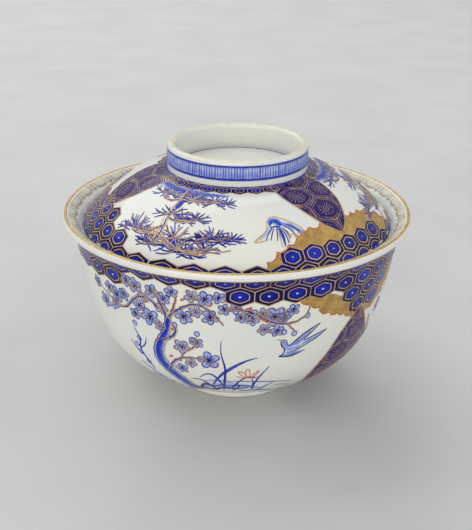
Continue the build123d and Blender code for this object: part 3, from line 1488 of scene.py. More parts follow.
@dataclass(frozen=True)
class Strokes:
    """Loose brush strokes in one pigment: each a course, its widths and its tone."""

    pigment: Pigment
    lines: tuple[tuple[tuple[Point, ...], tuple[float, ...], float], ...]

    def paint(self, painting: Painting) -> None:
        """Paints every stroke.

        Args:
            painting: The surface's painting.
        """
        for places, widths, tone in self.lines:
            painting.stroke(self.pigment, places, widths, tone, 0.8)


@dataclass(frozen=True)
class Swallow:
    """A swallow in flight, drawn around its back: wash, contours, feather strokes and gold beak."""

    place: Place
    wash: tuple = (
        (((-2.9, 2.7), (-2.2, 1.2), (-0.6, -0.4), (2.2, 0.2), (4.4, 1.5)), (1.3, 1.9, 2.5, 1.9, 0.7), 0.62),
        (((-0.9, 0.6), (2.0, 2.8), (4.6, 4.9), (7.0, 6.6)), (2.4, 2.4, 1.3, 0.2), 0.58),
        (((3.0, 0.9), (6.2, 2.3), (9.4, 3.8)), (1.5, 1.0, 0.2), 0.75),
        (((-3.2, -2.3), (-0.4, -2.1), (3.6, -1.5)), (0.5, 1.3, 0.3), 0.85),
    )
    contours: tuple = (
        (
            ((-3.4, 3.3), (-3.3, 1.6), (-2.4, 0.2), (-2.2, -1.2), (-3.4, -2.5)),
            (0.2, 0.3, 0.3, 0.25, 0.3), 0.8,
        ),
        (((-3.4, 3.3), (-2.2, 3.1), (-1.7, 1.7), (-0.9, 0.9)), (0.2, 0.25, 0.25, 0.2), 0.8),
        (((-0.9, 0.9), (1.4, 3.3), (4.2, 5.4), (7.3, 7.0)), (0.22, 0.34, 0.36, 0.12), 1.0),
        (
            ((7.3, 7.0), (5.2, 4.6), (3.0, 2.2), (5.8, 2.9), (9.9, 4.2)),
            (0.12, 0.26, 0.2, 0.3, 0.12), 0.8,
        ),
        (
            ((9.9, 4.2), (6.6, 1.7), (3.4, 0.1), (0.4, -1.3), (-1.6, -1.5)),
            (0.12, 0.3, 0.25, 0.25, 0.15), 0.9,
        ),
        (((-3.6, -2.6), (-0.6, -2.9), (4.0, -1.6)), (0.3, 0.5, 0.12), 1.1),
        (((0.2, 1.0), (4.6, 4.6)), (0.12, 0.2, 0.1), 0.5),
        (((1.2, 0.9), (4.2, 3.4)), (0.12, 0.2, 0.1), 0.5),
    )
    beak: tuple = ((((-3.2, 3.1), (-4.2, 3.7), (-4.9, 3.9)), (0.45, 0.3, 0.1), 1.0),)
    eye: Point = (-2.8, 2.7)
    press: float = 1.25         # how much broader than drawn the contours are
    deepen: float = 0.25        # and how much darker

    def paint(self, painting: Painting) -> None:
        """Paints the bird on its own sheet.

        Args:
            painting: The surface's painting.
        """
        for points, widths, tone in self.wash:
            self.line(painting, Pigment.WASH, points, widths, tone)
        for points, widths, tone in self.contours:
            broad = [self.press * width for width in widths]
            self.line(painting, Pigment.LINE, points, broad, tone + self.deepen)
        for points, widths, tone in self.beak:
            self.line(painting, Pigment.GOLD, points, widths, tone)
        painting.disc(Pigment.LINE, self.place, (0.24, 0.24), self.eye, tones=(1.2, 1.2), sides=8)

    def line(self, painting: Painting, pigment: Pigment, points: Sequence[Point],
             widths: Sequence[float], tone: float) -> None:
        """Paints one smooth line on the bird's sheet."""
        painting.ribbon(pigment, self.place, smooth_line(points, step=0.6), widths, tone)


@dataclass(frozen=True)
class Needles:
    """A tuft of pine needles fanned out from one point, in cobalt or in gold."""

    place: Point
    length: float
    count: int
    flat: float = 0.8           # height of the fan as a share of its width
    first: float = -40.0        # direction of the first needle, in degrees
    last: float = 220.0
    gold: bool = False

    def paint(self, painting: Painting) -> None:
        """Paints the needles in cobalt, then gold over most of them or over every third one.

        Args:
            painting: The surface's painting.
        """
        sheet = Place(*self.place)
        chance = painting.chance
        for index in range(self.count):
            share = (index + chance.uniform(-0.25, 0.25)) / (self.count - 1)
            angle = math.radians(self.first + (self.last - self.first) * share)
            reach = self.length * chance.uniform(0.72, 1.08)
            tip = np.array([math.cos(angle), self.flat * math.sin(angle)]) * reach
            bend = np.array([-tip[1], tip[0]]) * chance.uniform(-0.12, 0.12)
            line = smooth_line([tuple(tip * 0.05), tuple(tip * 0.55 + bend), tuple(tip)], count=5)
            painting.ribbon(Pigment.LINE, sheet, line, (0.34, 0.55, 0.30), chance.uniform(0.35, 1.1))
            if self.gold and index % 3:
                painting.ribbon(Pigment.GOLD, sheet, line + (0.18, 0.24), (0.16, 0.30, 0.12), 1.0)
            elif index % 3 == 1:
                painting.ribbon(Pigment.GOLD, sheet, line + (0.0, 0.22), (0.08, 0.18, 0.10), 0.9)


@dataclass(frozen=True)
class Group:
    """Motifs repeated round a body, each time turned by some degrees."""

    motifs: tuple
    turns: tuple[float, ...]

    def paint(self, painting: Painting) -> None:
        """Paints every repeat.

        Args:
            painting: The surface's painting.
        """
        for turn in self.turns:
            painting.turn = turn
            for motif in self.motifs:
                motif.paint(painting)
        painting.turn = 0.0


@dataclass(frozen=True)
class Lappets:
    """Buff petals with olive contours round the inside of the flared rim."""

    count: int = 34
    phase: float = 1.2          # angle of the first petal's middle
    low: float = 3.7            # distance along of the petals' tips
    high: float = 0.45          # and of their roots

    def paint(self, painting: Painting) -> None:
        """Paints the petals and the darker gaps between their tips.

        Args:
            painting: The surface's painting.
        """
        half = 180 / self.count
        span = self.low - self.high
        for index in range(self.count):
            middle = self.phase + 360 * index / self.count
            for share, tone in ((0.92, 0.45), (0.56, 0.9)):
                width = half * share
                shoulder = self.high + span * 0.55
                end = self.low - span * 0.34 * (1 - share)
                sides = [(middle - width, self.high), (middle - width, shoulder)]
                sides += [(middle - width * 0.62, end - 0.45), (middle, end)]
                sides += [(middle + width * 0.62, end - 0.45), (middle + width, shoulder)]
                sides += [(middle + width, self.high)]
                painting.stroke(Pigment.OLIVE, sides, (0.22, 0.32, 0.4, 0.32, 0.22), tone, 0.6)
            first = np.array([(middle + half * x, self.high) for x in np.linspace(-0.9, 0.9, 13)])
            curve = 1 - np.abs(np.linspace(-0.9, 0.9, 13)) ** 3
            last = np.stack([first[:, 0], self.high + span * (0.5 + 0.45 * curve)], axis=1)
            painting.field(Pigment.BUFF, first, last, (0.4, 1.0), 3)
            gap = Place(middle + half, self.low - 0.55)
            painting.disc(Pigment.OLIVE, gap, (0.85, 0.55), sides=9)


@dataclass(frozen=True)
class Hatching:
    """Upright hatch strokes round the ring between two cobalt lines."""

    count: int = 165
    low: float = 2.5            # distance along at which the strokes start
    high: float = 6.1           # and end

    def paint(self, painting: Painting) -> None:
        """Paints the strokes, each a little different.

        Args:
            painting: The surface's painting.
        """
        chance = painting.chance
        for index in range(self.count):
            angle = 360 * index / self.count + chance.uniform(-0.3, 0.3)
            lean = chance.uniform(-0.35, 0.35)
            middle = (self.low + self.high) / 2
            places = [(angle, self.low), (angle + lean * 0.4, middle), (angle + lean, self.high)]
            width = chance.uniform(0.24, 0.46)
            widths = (width, width * 0.8, width * 0.6)
            painting.stroke(Pigment.LINE, places, widths, chance.uniform(0.1, 0.5), 1.2)


# ---------------------------------------------------------------------------------------------
# What is painted where
# ---------------------------------------------------------------------------------------------

# A place is its degrees from the front and its millimetres along the outside, which are counted
# from the foot up on the bowl and from the ring down on the lid. A stroke is its places, its widths
# at even steps, and its tone.

BOWL_TURNS = (0.0, 180.0)
LID_TURNS = (0.0, 120.0, 240.0)
LID_CLOUD_TURNS = (0.0, 120.0)

BOWL_BORDER = Honeycomb(
    columns=40, rows=(68.4, 63.3, 58.2, 53.1), height=6.8, anchors=((0, -3.3), (40, 356.7)),
    reach=(
        ((-200, 200),), ((-131, -40), (0, 49)), ((-131, -115), (33, 49)), ((-131, -121), (42, 49)),
    ),
    repeat=180, start=-131,
)

BOWL_LEAF = BrocadeLeaf(
    left=((36, 1), (35.5, 10), (34, 17), (32, 24), (33, 30), (37, 37), (41, 44), (49, 52)),
    right=((98, 1), (92, 10), (84, 19), (76, 28.5), (68, 33), (59, 40), (54, 46), (49, 52)),
    centre=(50, 42), pitch=10.8, row=7.4, reach=6,
)

BOWL_CLOUDS = (
    GoldCloud(
        (
            (20.5, 61.6), (24.5, 58.8), (28.5, 57), (28.8, 55), (32.5, 54.2), (36.5, 52.6), (40, 51.6),
            (43.5, 49.8), (48.5, 47.8),
        ),
        ((20, 63), (24, 63.5), (34, 60), (42, 56), (50, 54)),
    ),
    GoldCloud(
        ((49.5, 47.8), (54, 48.8), (60, 50), (65, 52.6), (70, 55.6), (76, 57.6), (82, 60.6)),
        ((48, 54), (60, 56), (68, 61), (84, 64)),
    ),
)

PLUM = Tree(
    boughs=(
        Bough(((-18.5, 17), (-20, 22), (-24.5, 29), (-29, 36.5), (-27.5, 42.5), (-24, 48.5), (-22.5, 54)),
              (5.6, 4.8, 4.4, 4.2, 3.2, 2.5, 1.8), 1.2),
        Bough(((-23, 53), (-25, 58.5), (-27.5, 63)), (1.3, 0.9, 0.5)),
        Bough(((-22.6, 53), (-20.6, 57), (-19, 61.5)), (1.2, 0.8, 0.5)),
        Bough(((-22.5, 54), (-17, 58.2), (-12, 59.8), (-8, 57.7), (-4, 53)), (1.3, 1.2, 0.9, 0.7, 0.4)),
        Bough(((-26, 56), (-29, 59), (-33, 58.8), (-37, 55.8), (-41, 52.6), (-47, 53.6), (-52, 55.8)),
              (1.3, 1.3, 1.1, 1.0, 0.8, 0.6, 0.4)),
        Bough(((-26, 31), (-22.5, 36.4), (-17, 38.9), (-10, 38.5)), (1.3, 1.0, 0.7, 0.4)),
        Bough(((-26.4, 44), (-22, 46.6), (-20.4, 49.6), (-22.4, 52)), (1.2, 1.1, 0.9, 0.5), 0.9),
        Bough(((-20.5, 36.5), (-18, 41), (-14.6, 43.6), (-13.4, 47.6)), (0.7, 0.6, 0.5, 0.3), 0.6, 0.26),
        Bough(((-3, 59.6), (1.5, 58.8), (6, 57.2), (10, 54.6), (16, 52.8), (21, 53.4), (24, 56), (24, 59)),
              (0.5, 0.9, 1.1, 1.1, 0.9, 0.7, 0.5, 0.3)),
        Bough(((17, 52.7), (18.6, 51), (20.2, 49.2)), (0.5, 0.4, 0.3)),
    ),
    blossoms=(
        Blossom((-9.5, 38.7), 3.7, 10), Blossom((-19, 43), 2.9, 40, accent=True),
        Blossom((-29.8, 52), 3.5, 20), Blossom((-36, 51.6), 2.2, 55), Blossom((-44, 56), 3.0, 5),
        Blossom((-52, 51.2), 2.9, 33), Blossom((-40, 57.4), 2.4, 60),
        Blossom((-34.2, 62.2), 2.8, 12, accent=True), Blossom((-27.8, 62), 2.4, 48),
        Blossom((-17, 55), 2.9, 25), Blossom((-9.8, 62), 2.9, 5), Blossom((-8.2, 55.6), 2.8, 44),
        Blossom((4.4, 57.1), 2.5, 15), Blossom((12.5, 55.9), 3.7, 30, accent=True),
        Blossom((13.8, 50.4), 2.3, 8), Blossom((1.6, 56), 2.0, 50), Blossom((-55, 57), 2.3, 21),
        Blossom((-20.5, 33.3), 2.2, 17), Blossom((-3.6, 58.8), 2.1, 62), Blossom((-23.6, 60.2), 2.4, 14),
        Blossom((-14, 62.6), 2.3, 35, accent=True), Blossom((-37.6, 63), 2.3, 28),
        Blossom((-24.6, 56.4), 2.2, 50), Blossom((9.4, 51.4), 2.2, 26, accent=True),
        Blossom((-33.6, 55.2), 2.3, 9), Blossom((-5.4, 62.8), 2.2, 19),
        Blossom((-12.8, 57.2), 2.2, 60, accent=True), Blossom((0, 59.4), 2.2, 31),
        Blossom((8.6, 57.2), 2.2, 7, accent=True), Blossom((15.8, 55.4), 2.2, 50),
        Blossom((18.6, 57.6), 2.2, 18), Blossom((5.4, 54.9), 2.0, 39),
        Blossom((-31.4, 59), 2.2, 24, accent=True), Blossom((-45.6, 52.4), 2.2, 41),
        Blossom((-20.6, 63), 2.2, 3), Blossom((-26.4, 49.4), 2.0, 57, accent=True),
        Blossom((-47.4, 57.5), 2.3, 12), Blossom((-16.4, 36.6), 2.1, 44, accent=True),
        Blossom((-13.4, 45.4), 2.2, 21),
    ),
    buds=(
        (-37.2, 41.6), (-39.2, 38.6), (-38.4, 35.4), (-36.2, 31.6), (-20.6, 51.2), (-15, 46.5), (-13, 49),
        (16.3, 49.6), (20, 48.6), (24, 54.6), (-37.5, 47.6), (-47.5, 50.2),
    ),
    accents=(
        (-21.5, 49.4), (-28.4, 43.8), (9.5, 54.9), (4.5, 59.3), (-8, 60), (-24, 38), (-31, 57.3), (-17, 61),
    ),
)

GRASS = Strokes(Pigment.LINE, (
    (((-5, 21), (-4, 30), (-3.8, 36), (-5, 42), (-4.8, 47)), (0.6, 0.9, 0.7, 0.4, 0.15), 0.8),
    (((-9, 26), (-5.5, 32), (-0.5, 36.4), (5, 39.4), (8, 40.2)), (0.5, 0.9, 1.3, 0.9, 0.2), 0.55),
    (((-14, 30), (-9.6, 32.4), (-6.6, 29.6), (-5, 25)), (0.2, 0.6, 0.7, 0.4), 0.7),
    (((12.5, 36), (10, 32.4), (8.2, 28.4), (7, 23)), (0.2, 0.5, 0.7, 0.5), 0.8),
    (((6.8, 30.5), (7.2, 27), (7.6, 22)), (0.2, 0.5, 0.5), 0.7),
    (((-8, 20), (-11, 26), (-14.5, 28.6), (-18, 28)), (0.5, 0.8, 0.6, 0.2), 0.7),
    (((-2, 22), (1, 28), (5, 31.2), (9, 31)), (0.5, 0.7, 0.5, 0.2), 0.8),
    (((-3, 28.7), (3, 28.9), (9, 28.3), (16, 27.3), (25, 25.2)), (0.2, 0.4, 0.4, 0.35, 0.15), 0.6),
    (((-15, 22), (-12, 25.6), (-8.6, 24.6), (-5, 26.6)), (0.7, 1.3, 1.0, 0.4), 1.1),
    (((-9, 20), (-5, 23.4), (1, 22.8), (6, 24.4)), (1.0, 1.6, 1.3, 0.4), 1.0),
    (((-19, 19), (-15, 21.6), (-11, 20.8), (-7, 23)), (1.2, 1.9, 1.4, 0.5), 1.2),
    (((-13, 27.6), (-10.4, 25.2), (-8.6, 21.6)), (0.3, 0.7, 0.8), 1.0),
    (((-4, 25.4), (2, 26), (8, 25)), (0.3, 0.8, 0.3), 0.9),
    (((-1, 20.6), (1.6, 24.6), (0.6, 28)), (0.7, 0.6, 0.2), 1.0),
    (((10, 20), (12.8, 24), (16.4, 27.4)), (0.5, 0.5, 0.15), 0.9),
    (((2, 19.5), (6, 20.5), (12, 19.6), (19, 17)), (0.6, 1.0, 0.7, 0.2), 0.7),
    (((-35, 28), (-36.4, 33), (-38, 37), (-37, 40.5), (-38.6, 46)), (0.5, 0.7, 0.6, 0.5, 0.2), 0.7),
    (((-36.6, 34), (-40, 36.2), (-42, 39.8)), (0.5, 0.5, 0.15), 0.7),
    (((-37.6, 37.5), (-34.8, 40), (-33.6, 43)), (0.4, 0.5, 0.15), 0.6),
    (((-33, 22), (-36, 26), (-41, 30.4)), (0.4, 0.7, 0.2), 0.7),
    (((-30, 20), (-34, 22.4), (-40, 23.4)), (0.4, 0.7, 0.2), 0.6),
))

GROUND_WASH = Strokes(Pigment.WASH, (
    (((-16, 20), (-10, 24.5), (-2, 25), (6, 24.5), (13, 21.5)), (2.0, 5.5, 6.0, 4.0, 1.0), 0.6),
    (((-12, 28), (-6, 29), (0, 27)), (1.0, 3.4, 1.2), 0.5),
    (((8, 8), (17, 15.5), (25, 21.5)), (0.5, 2.2, 0.5), 0.35),
    (((-33, 19), (-29, 21.5), (-24, 21)), (1.0, 3.0, 1.0), 0.45),
))

GROUND_EDGE = Strokes(Pigment.LINE, (
    (((7, 6), (15, 13), (21, 18.5), (25, 22.5)), (0.3, 0.5, 0.4, 0.15), 0.7),
    (((-46, 9), (-40, 13.5), (-33, 16.6)), (0.2, 0.6, 0.2), 0.7),
))

RED_FLOWER = Strokes(Pigment.RED, (
    (((4.6, 31), (2.4, 32.4), (1.2, 34.2), (3.4, 33.4), (4.6, 31)), (0.2, 0.32, 0.2), 1.0),
    (((4.6, 31), (3.8, 33.2), (4.6, 35.4), (5.6, 33.4), (4.6, 31)), (0.2, 0.32, 0.2), 1.0),
    (((4.6, 31), (6.6, 32.4), (8.8, 34.4), (7.4, 32), (4.6, 31)), (0.2, 0.32, 0.2), 1.0),
    (((4.6, 31), (2.2, 31), (0.4, 31.8)), (0.3, 0.4, 0.15), 1.0),
    (((4.6, 31), (7.2, 30.8), (9.4, 31.4)), (0.3, 0.4, 0.15), 1.0),
    (((17, 24.6), (20, 23.6), (23, 23.8)), (0.2, 0.8, 0.2), 1.0),
))

FAR_SPRAY = Tree(
    boughs=(
        Bough(((-120, 12), (-114, 22), (-107, 32), (-104, 41), (-98, 49), (-88, 55)),
              (3.0, 2.6, 2.2, 1.8, 1.3, 0.6), 0.7),
        Bough(((-105, 37), (-97, 40.6), (-89, 40)), (1.2, 1.0, 0.4)),
        Bough(((-108, 31), (-116, 37), (-121, 44)), (1.2, 0.9, 0.3)),
    ),
    blossoms=(
        Blossom((-88, 51), 3.2, 20), Blossom((-95, 54.6), 2.6, 40), Blossom((-90, 37), 2.6, 55),
        Blossom((-113, 45), 2.7, 5), Blossom((-104, 49), 2.8, 48, accent=True), Blossom((-87, 43), 2.3, 10),
    ),
    buds=((-84, 57), (-98, 44), (-115, 51), (-85, 47)),
    accents=((-106, 40), (-113, 29)),
)

SWALLOW = Swallow(Place(20.2, 42.8, 0, 1.12))

LID_BORDER = Honeycomb(
    columns=38, rows=(33.5, 28.5, 23.5), height=6.67,
    anchors=((-5, -78), (-1, -44.5), (0, -36), (4, 7), (7, 33), (10, 58), (33, 282)),
    reach=(((-180, 180),), ((-96, -46), (15, 68), (135, 180), (-180, -172)), ((-100, -61),)),
    repeat=360, start=-180,
)

LID_LEAF = BrocadeLeaf(
    left=((24, 0.8), (27, 7), (32, 13), (36.5, 18), (41.5, 22.5), (45.5, 24.6)),
    right=((66, 0.8), (63.5, 7), (59, 14), (54, 19), (49, 22.8), (45.5, 24.6)),
    centre=(46.3, 15.4), pitch=11.3, row=7.4, reach=3,
)

LID_CLOUDS = (
    GoldCloud(
        (
            (10.4, 29.4), (14.4, 26.4), (19.4, 24.4), (23.2, 23.5), (23.8, 22.2), (27, 20.6), (31, 19.8),
            (37.5, 19.4),
        ),
        ((8, 31.6), (46, 31.6)),
    ),
    GoldCloud(
        ((53, 20), (57.5, 20), (63, 20.4), (67.5, 21.8), (70, 23.4), (76, 25.4), (81, 29.4)),
        ((50, 31), (84, 31.6)),
    ),
)

PINE_WOOD = Tree(
    boughs=(
        Bough(((-31.5, 5), (-30.8, 9), (-31.4, 13)), (1.5, 1.9, 1.7), 1.2),
        Bough(((-31.4, 13), (-32.6, 17), (-32, 21), (-33, 26)), (1.6, 1.7, 1.75, 1.3), 0.15),
        Bough(((-31.5, 9), (-38, 10.5), (-45, 9.5)), (1.0, 0.8, 0.4)),
        Bough(((-31, 8.5), (-20, 9), (-9, 8.2)), (1.0, 0.8, 0.3)),
        Bough(((-32.4, 17), (-26, 17.6), (-18, 16.6)), (0.9, 0.7, 0.3)),
        Bough(((-32.3, 20), (-38, 23.4), (-46, 24)), (0.9, 0.7, 0.3)),
        Bough(((-31.9, 23), (-22, 26.6), (-10, 26.6), (-2, 25.6)), (0.8, 0.6, 0.4, 0.2), 0.4, 0.24),
    ),
)

PINE_NEEDLES = (
    Needles((-47, 8.6), 4.8, 14), Needles((-40, 8.2), 4.0, 12), Needles((-30.5, 7.8), 4.4, 13, 1.0),
    Needles((-21.5, 8.2), 4.4, 13, 1.0), Needles((-12.5, 8.6), 4.3, 13, 1.0),
    Needles((-6, 8.8), 3.4, 11, 0.9), Needles((-30.5, 15.6), 7.2, 17, 0.55), Needles((-24, 16.6), 4.0, 11),
    Needles((-18.5, 16), 5.0, 14, 0.65), Needles((-43.5, 23.6), 7.0, 16, 0.85, 0, 190),
    Needles((-49.5, 24.4), 3.8, 10), Needles((-9.5, 21.8), 5.6, 15, 0.7), Needles((-2, 22.2), 4.6, 13, 0.6),
    Needles((-15, 23.5), 4.4, 11), Needles((-6, 22.6), 4.6, 12, 0.6), Needles((-12.5, 22.4), 4.6, 12, 0.6),
    Needles((-26, 8.6), 4.2, 12), Needles((-36, 26.4), 4.6, 11), Needles((-26, 25.6), 5.2, 12),
    Needles((-18.5, 27.4), 4.2, 10), Needles((-38, 24.4), 5.6, 12, 0.85, 5, 175, True),
    Needles((-32.5, 26.6), 6.2, 14, 0.8, 0, 180, True), Needles((-25, 23.6), 6.6, 15, 0.8, -10, 190, True),
    Needles((-22, 27), 6.2, 14, 0.8, -20, 200, True), Needles((-15.5, 28), 4.8, 11, 0.7, 0, 185, True),
    Needles((-12, 26.2), 5.0, 11, 0.75, -10, 170, True),
)

CLOUD_UNDER_LEAF = Strokes(Pigment.CLOUD, (
    (((35.5, 23.6), (41, 24.2), (47, 24.6), (55, 23.8)), (8.0, 7.6, 6.4, 7.4), 1.0),
))

BLUE_BIRD = (
    Strokes(Pigment.WASH, (
        (((14.2, 17.4), (15.8, 15.9), (17.8, 16.4), (19.2, 17.8)), (1.0, 2.6, 2.9, 1.8), 1.15),
        (((18.6, 17.0), (23.2, 18.4), (27.6, 21.4)), (1.8, 2.5, 0.8), 0.75),
        (((15.0, 18.4), (12, 20.2), (8.8, 22.4)), (1.8, 1.9, 0.5), 0.45),
        (((17.4, 18.0), (18.2, 20.6), (18.4, 24.2)), (2.0, 1.5, 0.5), 1.0),
    )),
    Strokes(Pigment.LINE, (
        (((15.2, 16.6), (15.7, 16.7)), (0.5, 0.5), 1.2), (((17.2, 15.8), (17.7, 16.0)), (0.45, 0.45), 1.2),
        (((13.6, 17.6), (15, 18.2), (16.6, 17.9), (18.4, 18.4)), (0.2, 0.4, 0.4, 0.2), 0.9),
        (((18.8, 18.4), (20.6, 20), (21.6, 22.4)), (0.25, 0.4, 0.2), 0.9),
        (((20, 18), (22.6, 19.6), (24.2, 22.6)), (0.25, 0.4, 0.2), 0.9),
        (((21.6, 17.6), (24.6, 19.4), (26.6, 22.2)), (0.25, 0.4, 0.2), 0.9),
        (((15.6, 18.8), (14.4, 20.4), (13.4, 22.6)), (0.25, 0.35, 0.2), 0.8),
        (((15, 18.4), (13, 20.2), (11.2, 22.6)), (0.25, 0.35, 0.2), 0.8),
        (((16.6, 19), (16.4, 21), (15.8, 23)), (0.25, 0.35, 0.2), 0.8),
        (((18.2, 19), (18.8, 22), (18.4, 25)), (0.5, 0.45, 0.25), 0.9),
        (((19.2, 19.4), (20, 22), (20, 24)), (0.35, 0.35, 0.2), 0.7),
    )),
    Strokes(Pigment.GOLD, (
        (((12.6, 18.6), (13.4, 16.2), (16.4, 14.4), (19.4, 15), (23.4, 16.8), (27, 19), (29, 22)),
         (0.15, 0.26, 0.26, 0.26, 0.26, 0.26, 0.15), 1.0),
        (((29, 22), (26.4, 22.2), (25.6, 21), (23.6, 22.6), (22.8, 21.2), (20.8, 22.4)),
         (0.2, 0.24, 0.24, 0.2), 1.0),
        (((13.2, 18.2), (10.4, 20.6), (7, 23), (10, 22.8), (12.6, 22.2)), (0.2, 0.35, 0.6, 0.3, 0.15), 1.0),
        (((17.4, 19.2), (17.2, 22.4), (17.4, 25.2)), (0.2, 0.24, 0.15), 1.0),
        (((19.6, 20), (20.8, 22.2), (20.2, 24)), (0.2, 0.24, 0.15), 1.0),
    )),
)

LID_BANDS = Band((
    (Pigment.GROUND, -0.1, 1.7, 0.2, 0.9), (Pigment.WASH, 1.5, 3.2, 0.8, 0.0),
))

CROWN_WASH = Strokes(Pigment.WASH, (
    (((-55, 4.2), (-44, 5.0), (-30, 5.4), (-16, 5.3), (-5, 5)), (4.4, 5.2, 4.4, 2.6, 0.6), 0.95),
    (((-54, 4.4), (-42, 5.2), (-30, 5.6), (-20, 5.5)), (2.8, 3.4, 2.4, 0.6), 1.3),
))

LID_COLLAR = Honeycomb(
    columns=32, rows=(2.25,), height=3.8, anchors=((0, 1.5), (32, 361.5)),
    reach=(((-58, 26), (62, 146), (-178, -94)),), repeat=360, start=-180,
    net=0.27, ring=0.15, ring_share=0.58,
)

RING_BANDS = Band((
    (Pigment.WASH, 1.7, 3.4, 0.4, 0.6), (Pigment.WASH, 3.4, 5.0, 0.6, 0.4),
    (Pigment.WASH, 5.0, 6.6, 0.4, 0.64),
    (Pigment.LINE, 1.9, 2.6, 0.6, 0.75), (Pigment.LINE, 5.95, 6.6, 0.55, 0.6),
))

# The cobalt ground ring just under the lip is partly the border's own cobalt and partly painted shade for the
# shadow that the lip casts.
BOWL_BANDS = Band((
    (Pigment.GROUND, 68.6, 70.8, 0.9, 0.5), (Pigment.WASH, 70.6, 71.4, 0.9, 0.0),
    (Pigment.LINE, 0.7, 1.25, 0.8, 0.8),
))


# ---------------------------------------------------------------------------------------------
# Sub-assemblies
# ---------------------------------------------------------------------------------------------

@dataclass
class Bowl:
    """The bowl: body, foot, gilt lip and everything painted on them."""

    shape: BowlShape = field(default_factory=BowlShape)
    lip_line: GiltEdge = field(default_factory=lambda: GiltEdge(56.1, 57.1, 62.65))
    painted_to: float = 71.2    # millimetres along the outside past which no paint is kept

    def build(self, glaze: bpy.types.Material, foot: bpy.types.Material, gilt: bpy.types.Material) -> None:
        """Turns the bowl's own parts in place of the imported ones.

        Args:
            glaze: Finish of the body.
            foot: Finish of the foot.
            gilt: Finish of the lip's line.
        """
        body = turned("bowl_body_glazed", self.shape.body(), glaze, False)
        stand_in(body, "bowl", "bowl_body")
        ring = turned("bowl_foot_turned", self.shape.foot(), foot, True)
        stand_in(ring, "bowl", "bowl_foot_ring")
        line = turned("bowl_lip_gilt", self.lip_line.section(), gilt, True)
        stand_in(line, "bowl", "bowl_lip_gilding")

    def decorate(self, paints: dict[Pigment, bpy.types.Material]) -> None:
        """Paints the outside and the flared rim.

        Args:
            paints: The finish of each pigment.
        """
        outside = Painting("bowl", Surface(self.shape.outside(), up=1, outward=1), "bowl")
        BOWL_BORDER.paint(outside)
        BOWL_BANDS.paint(outside)
        scene = (GROUND_WASH, GROUND_EDGE, PLUM, GRASS, RED_FLOWER, FAR_SPRAY, SWALLOW)
        Group((*scene, BOWL_LEAF, *BOWL_CLOUDS), BOWL_TURNS).paint(outside)
        outside.finish(paints, self.painted_to)
        rim = Painting("rim", Surface(self.shape.flared_rim(), up=-1, outward=1), "bowl")
        Lappets().paint(rim)
        rim.finish(paints)


@dataclass
class Lid:
    """The lid: dome, grip ring, gilt rim and everything painted on them."""

    shape: LidShape = field(default_factory=LidShape)
    ring_line: GiltEdge = field(default_factory=lambda: GiltEdge(21.1, 22.3, 84.45))
    bare_edge: float = 0.9      # millimetres of the outside that stay unpainted at the edge
    # Radius and height along the floor inside the ring, from its wall inwards.
    floor_line: tuple = ((20.2, 76.6), (18.0, 76.45), (15.0, 76.3))

    def build(self, glaze: bpy.types.Material, gilt: bpy.types.Material) -> None:
        """Turns the lid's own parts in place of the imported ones.

        Args:
            glaze: Finish of the dome and the ring.
            gilt: Finish of the ring's line.
        """
        dome = turned("lid_dome_glazed", self.shape.dome(), glaze, False)
        stand_in(dome, "lid", "lid_dome")
        ring = turned("lid_ring_glazed", self.shape.ring(), glaze, True)
        stand_in(ring, "lid", "lid_grip_ring")
        line = turned("lid_ring_gilt", self.ring_line.section(), gilt, True)
        stand_in(line, "lid", "lid_ring_gilding")

    def decorate(self, paints: dict[Pigment, bpy.types.Material]) -> None:
        """Paints the dome, the ring and the line inside the ring.

        Args:
            paints: The finish of each pigment.
        """
        dome = Painting("lid", Surface(self.shape.outside(), up=-1, outward=-1), "lid")
        LID_BORDER.paint(dome)
        LID_BANDS.paint(dome)
        LID_COLLAR.paint(dome)
        Group((CROWN_WASH, PINE_WOOD, *PINE_NEEDLES, *BLUE_BIRD, LID_LEAF), LID_TURNS).paint(dome)
        Group((CLOUD_UNDER_LEAF, *LID_CLOUDS), LID_CLOUD_TURNS).paint(dome)
        dome.finish(paints, dome.surface.length - self.bare_edge)
        ring = Painting("ring", Surface(self.shape.ring_outside(), up=1, outward=1), "lid")
        RING_BANDS.paint(ring)
        Hatching().paint(ring)
        ring.finish(paints)
        circle = Painting("cup", Surface(np.array(self.floor_line), up=1, outward=1), "lid")
        Band(((Pigment.LINE, 0.35, 0.8, 0.3, 0.3),)).paint(circle)
        circle.finish(paints)


def stand_in(piece: bpy.types.Object, body: str, node: str) -> None:
    """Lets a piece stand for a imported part.

    Args:
        piece: The piece.
        body: The body that it moves with.
        node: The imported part.
    """
    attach(piece, body)
    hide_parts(node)
    LOG.info("%s: %d faces, for %s", piece.name, len(piece.data.polygons), node)


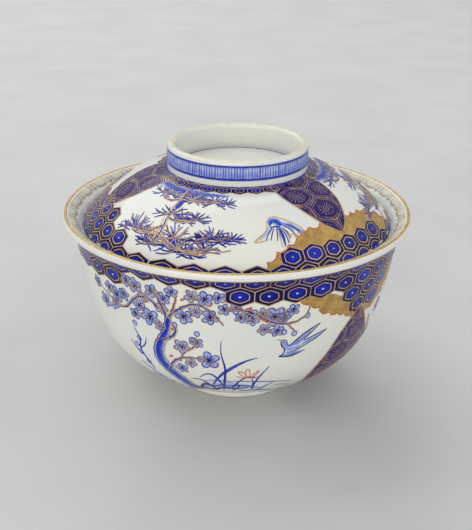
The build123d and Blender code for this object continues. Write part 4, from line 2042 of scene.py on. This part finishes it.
@dataclass(frozen=True)
class Studio:
    """Pale floor, soft light and the camera."""

    reach: float = 0.28347          # metres from the bowl's axis to the camera
    height: float = 0.16644         # metres from the floor to the camera
    pitch: float = 0.4155           # radians that it looks down
    roll: float = 0.01104           # radians that it is turned about its own axis
    lens: float = 61.13             # focal length in millimetres
    shift: Point = (-0.00085, -0.00513)     # of the lens, as shares of the frame's longer side
    aim: tuple = (0.0, 0.0, 0.04)   # what the lights face
    daylight: float = 0.66          # strength of the surroundings

    def build(self) -> None:
        """Sets up floor, lights, surroundings and camera."""
        self.floor()
        self.light("key", (-0.60, 0.90, 1.30), (2.0, 1.4), 12.0, (1.0, 0.99, 0.96))
        self.light("front", (-0.45, -1.55, 0.42), (1.8, 0.7), 11.0, (1.0, 0.98, 0.94))
        self.light("side", (1.00, -0.15, 0.55), (1.2, 1.0), 1.8, (1.0, 0.97, 0.92))
        world = bpy.data.worlds.new("soft_room")
        world.use_nodes = True
        surroundings = world.node_tree.nodes["Background"]
        surroundings.inputs["Color"].default_value = (0.90, 0.93, 0.95, 1)
        surroundings.inputs["Strength"].default_value = self.daylight
        bpy.context.scene.world = world
        bpy.context.scene.view_settings.view_transform = "Standard"
        self.camera()

    def floor(self) -> None:
        """A wide pale sheet that the bowl stands on."""
        bm = bmesh.new()
        bmesh.ops.create_grid(bm, x_segments=4, y_segments=4, size=6.0)
        sheet = NodeSheet("pale_floor")
        patches = sheet.ramp(sheet.noise(60.0, 3.0), 0.3, 0.7)
        colour = sheet.blend(patches, (0.60, 0.60, 0.59), (0.64, 0.64, 0.63))
        sheet.base(colour, sheet.between(sheet.noise(20.0), 0.75, 0.85))
        as_piece("floor", bm, sheet.material)

    def light(self, name: str, place: tuple, size: tuple, power: float, colour: tuple) -> None:
        """Adds one rectangular soft light that faces the bowl.

        Args:
            name: The light's name.
            place: Where it stands, in metres.
            size: Its two sides, in metres.
            power: Its power, in watts.
            colour: Its colour.
        """
        data = bpy.data.lights.new(name, "AREA")
        data.shape = "RECTANGLE"
        data.size, data.size_y = size
        data.energy = power
        data.color = colour
        lamp = bpy.data.objects.new(name, data)
        lamp.location = place
        lamp.rotation_euler = (Vector(self.aim) - Vector(place)).to_track_quat("-Z", "Y").to_euler()
        bpy.context.scene.collection.objects.link(lamp)

    def camera(self) -> None:
        """Looks down at the bowl from the front."""
        data = bpy.data.cameras.new("camera")
        data.lens = self.lens
        data.sensor_width = 36
        data.shift_x, data.shift_y = self.shift
        data.clip_start = 0.01
        camera = bpy.data.objects.new("camera", data)
        turn = Matrix.Rotation(math.pi / 2 - self.pitch, 4, "X") @ Matrix.Rotation(self.roll, 4, "Z")
        camera.matrix_world = Matrix.Translation((0, -self.reach, self.height)) @ turn
        bpy.context.scene.collection.objects.link(camera)
        bpy.context.scene.camera = camera


def main() -> None:
    """Builds everything in order."""
    logging.basicConfig(level=logging.INFO, format="%(name)s: %(message)s")
    paints = {pigment: finish.build() for pigment, finish in FINISHES.items()}
    glaze = PorcelainGlaze().build()
    bowl, lid = Bowl(), Lid()
    bowl.build(glaze, UnglazedFoot().build(), LIP_GILDING.build())
    lid.build(glaze, RING_GILDING.build())
    bowl.decorate(paints)
    lid.decorate(paints)
    Studio().build()


if __name__ == "__main__":
    main()
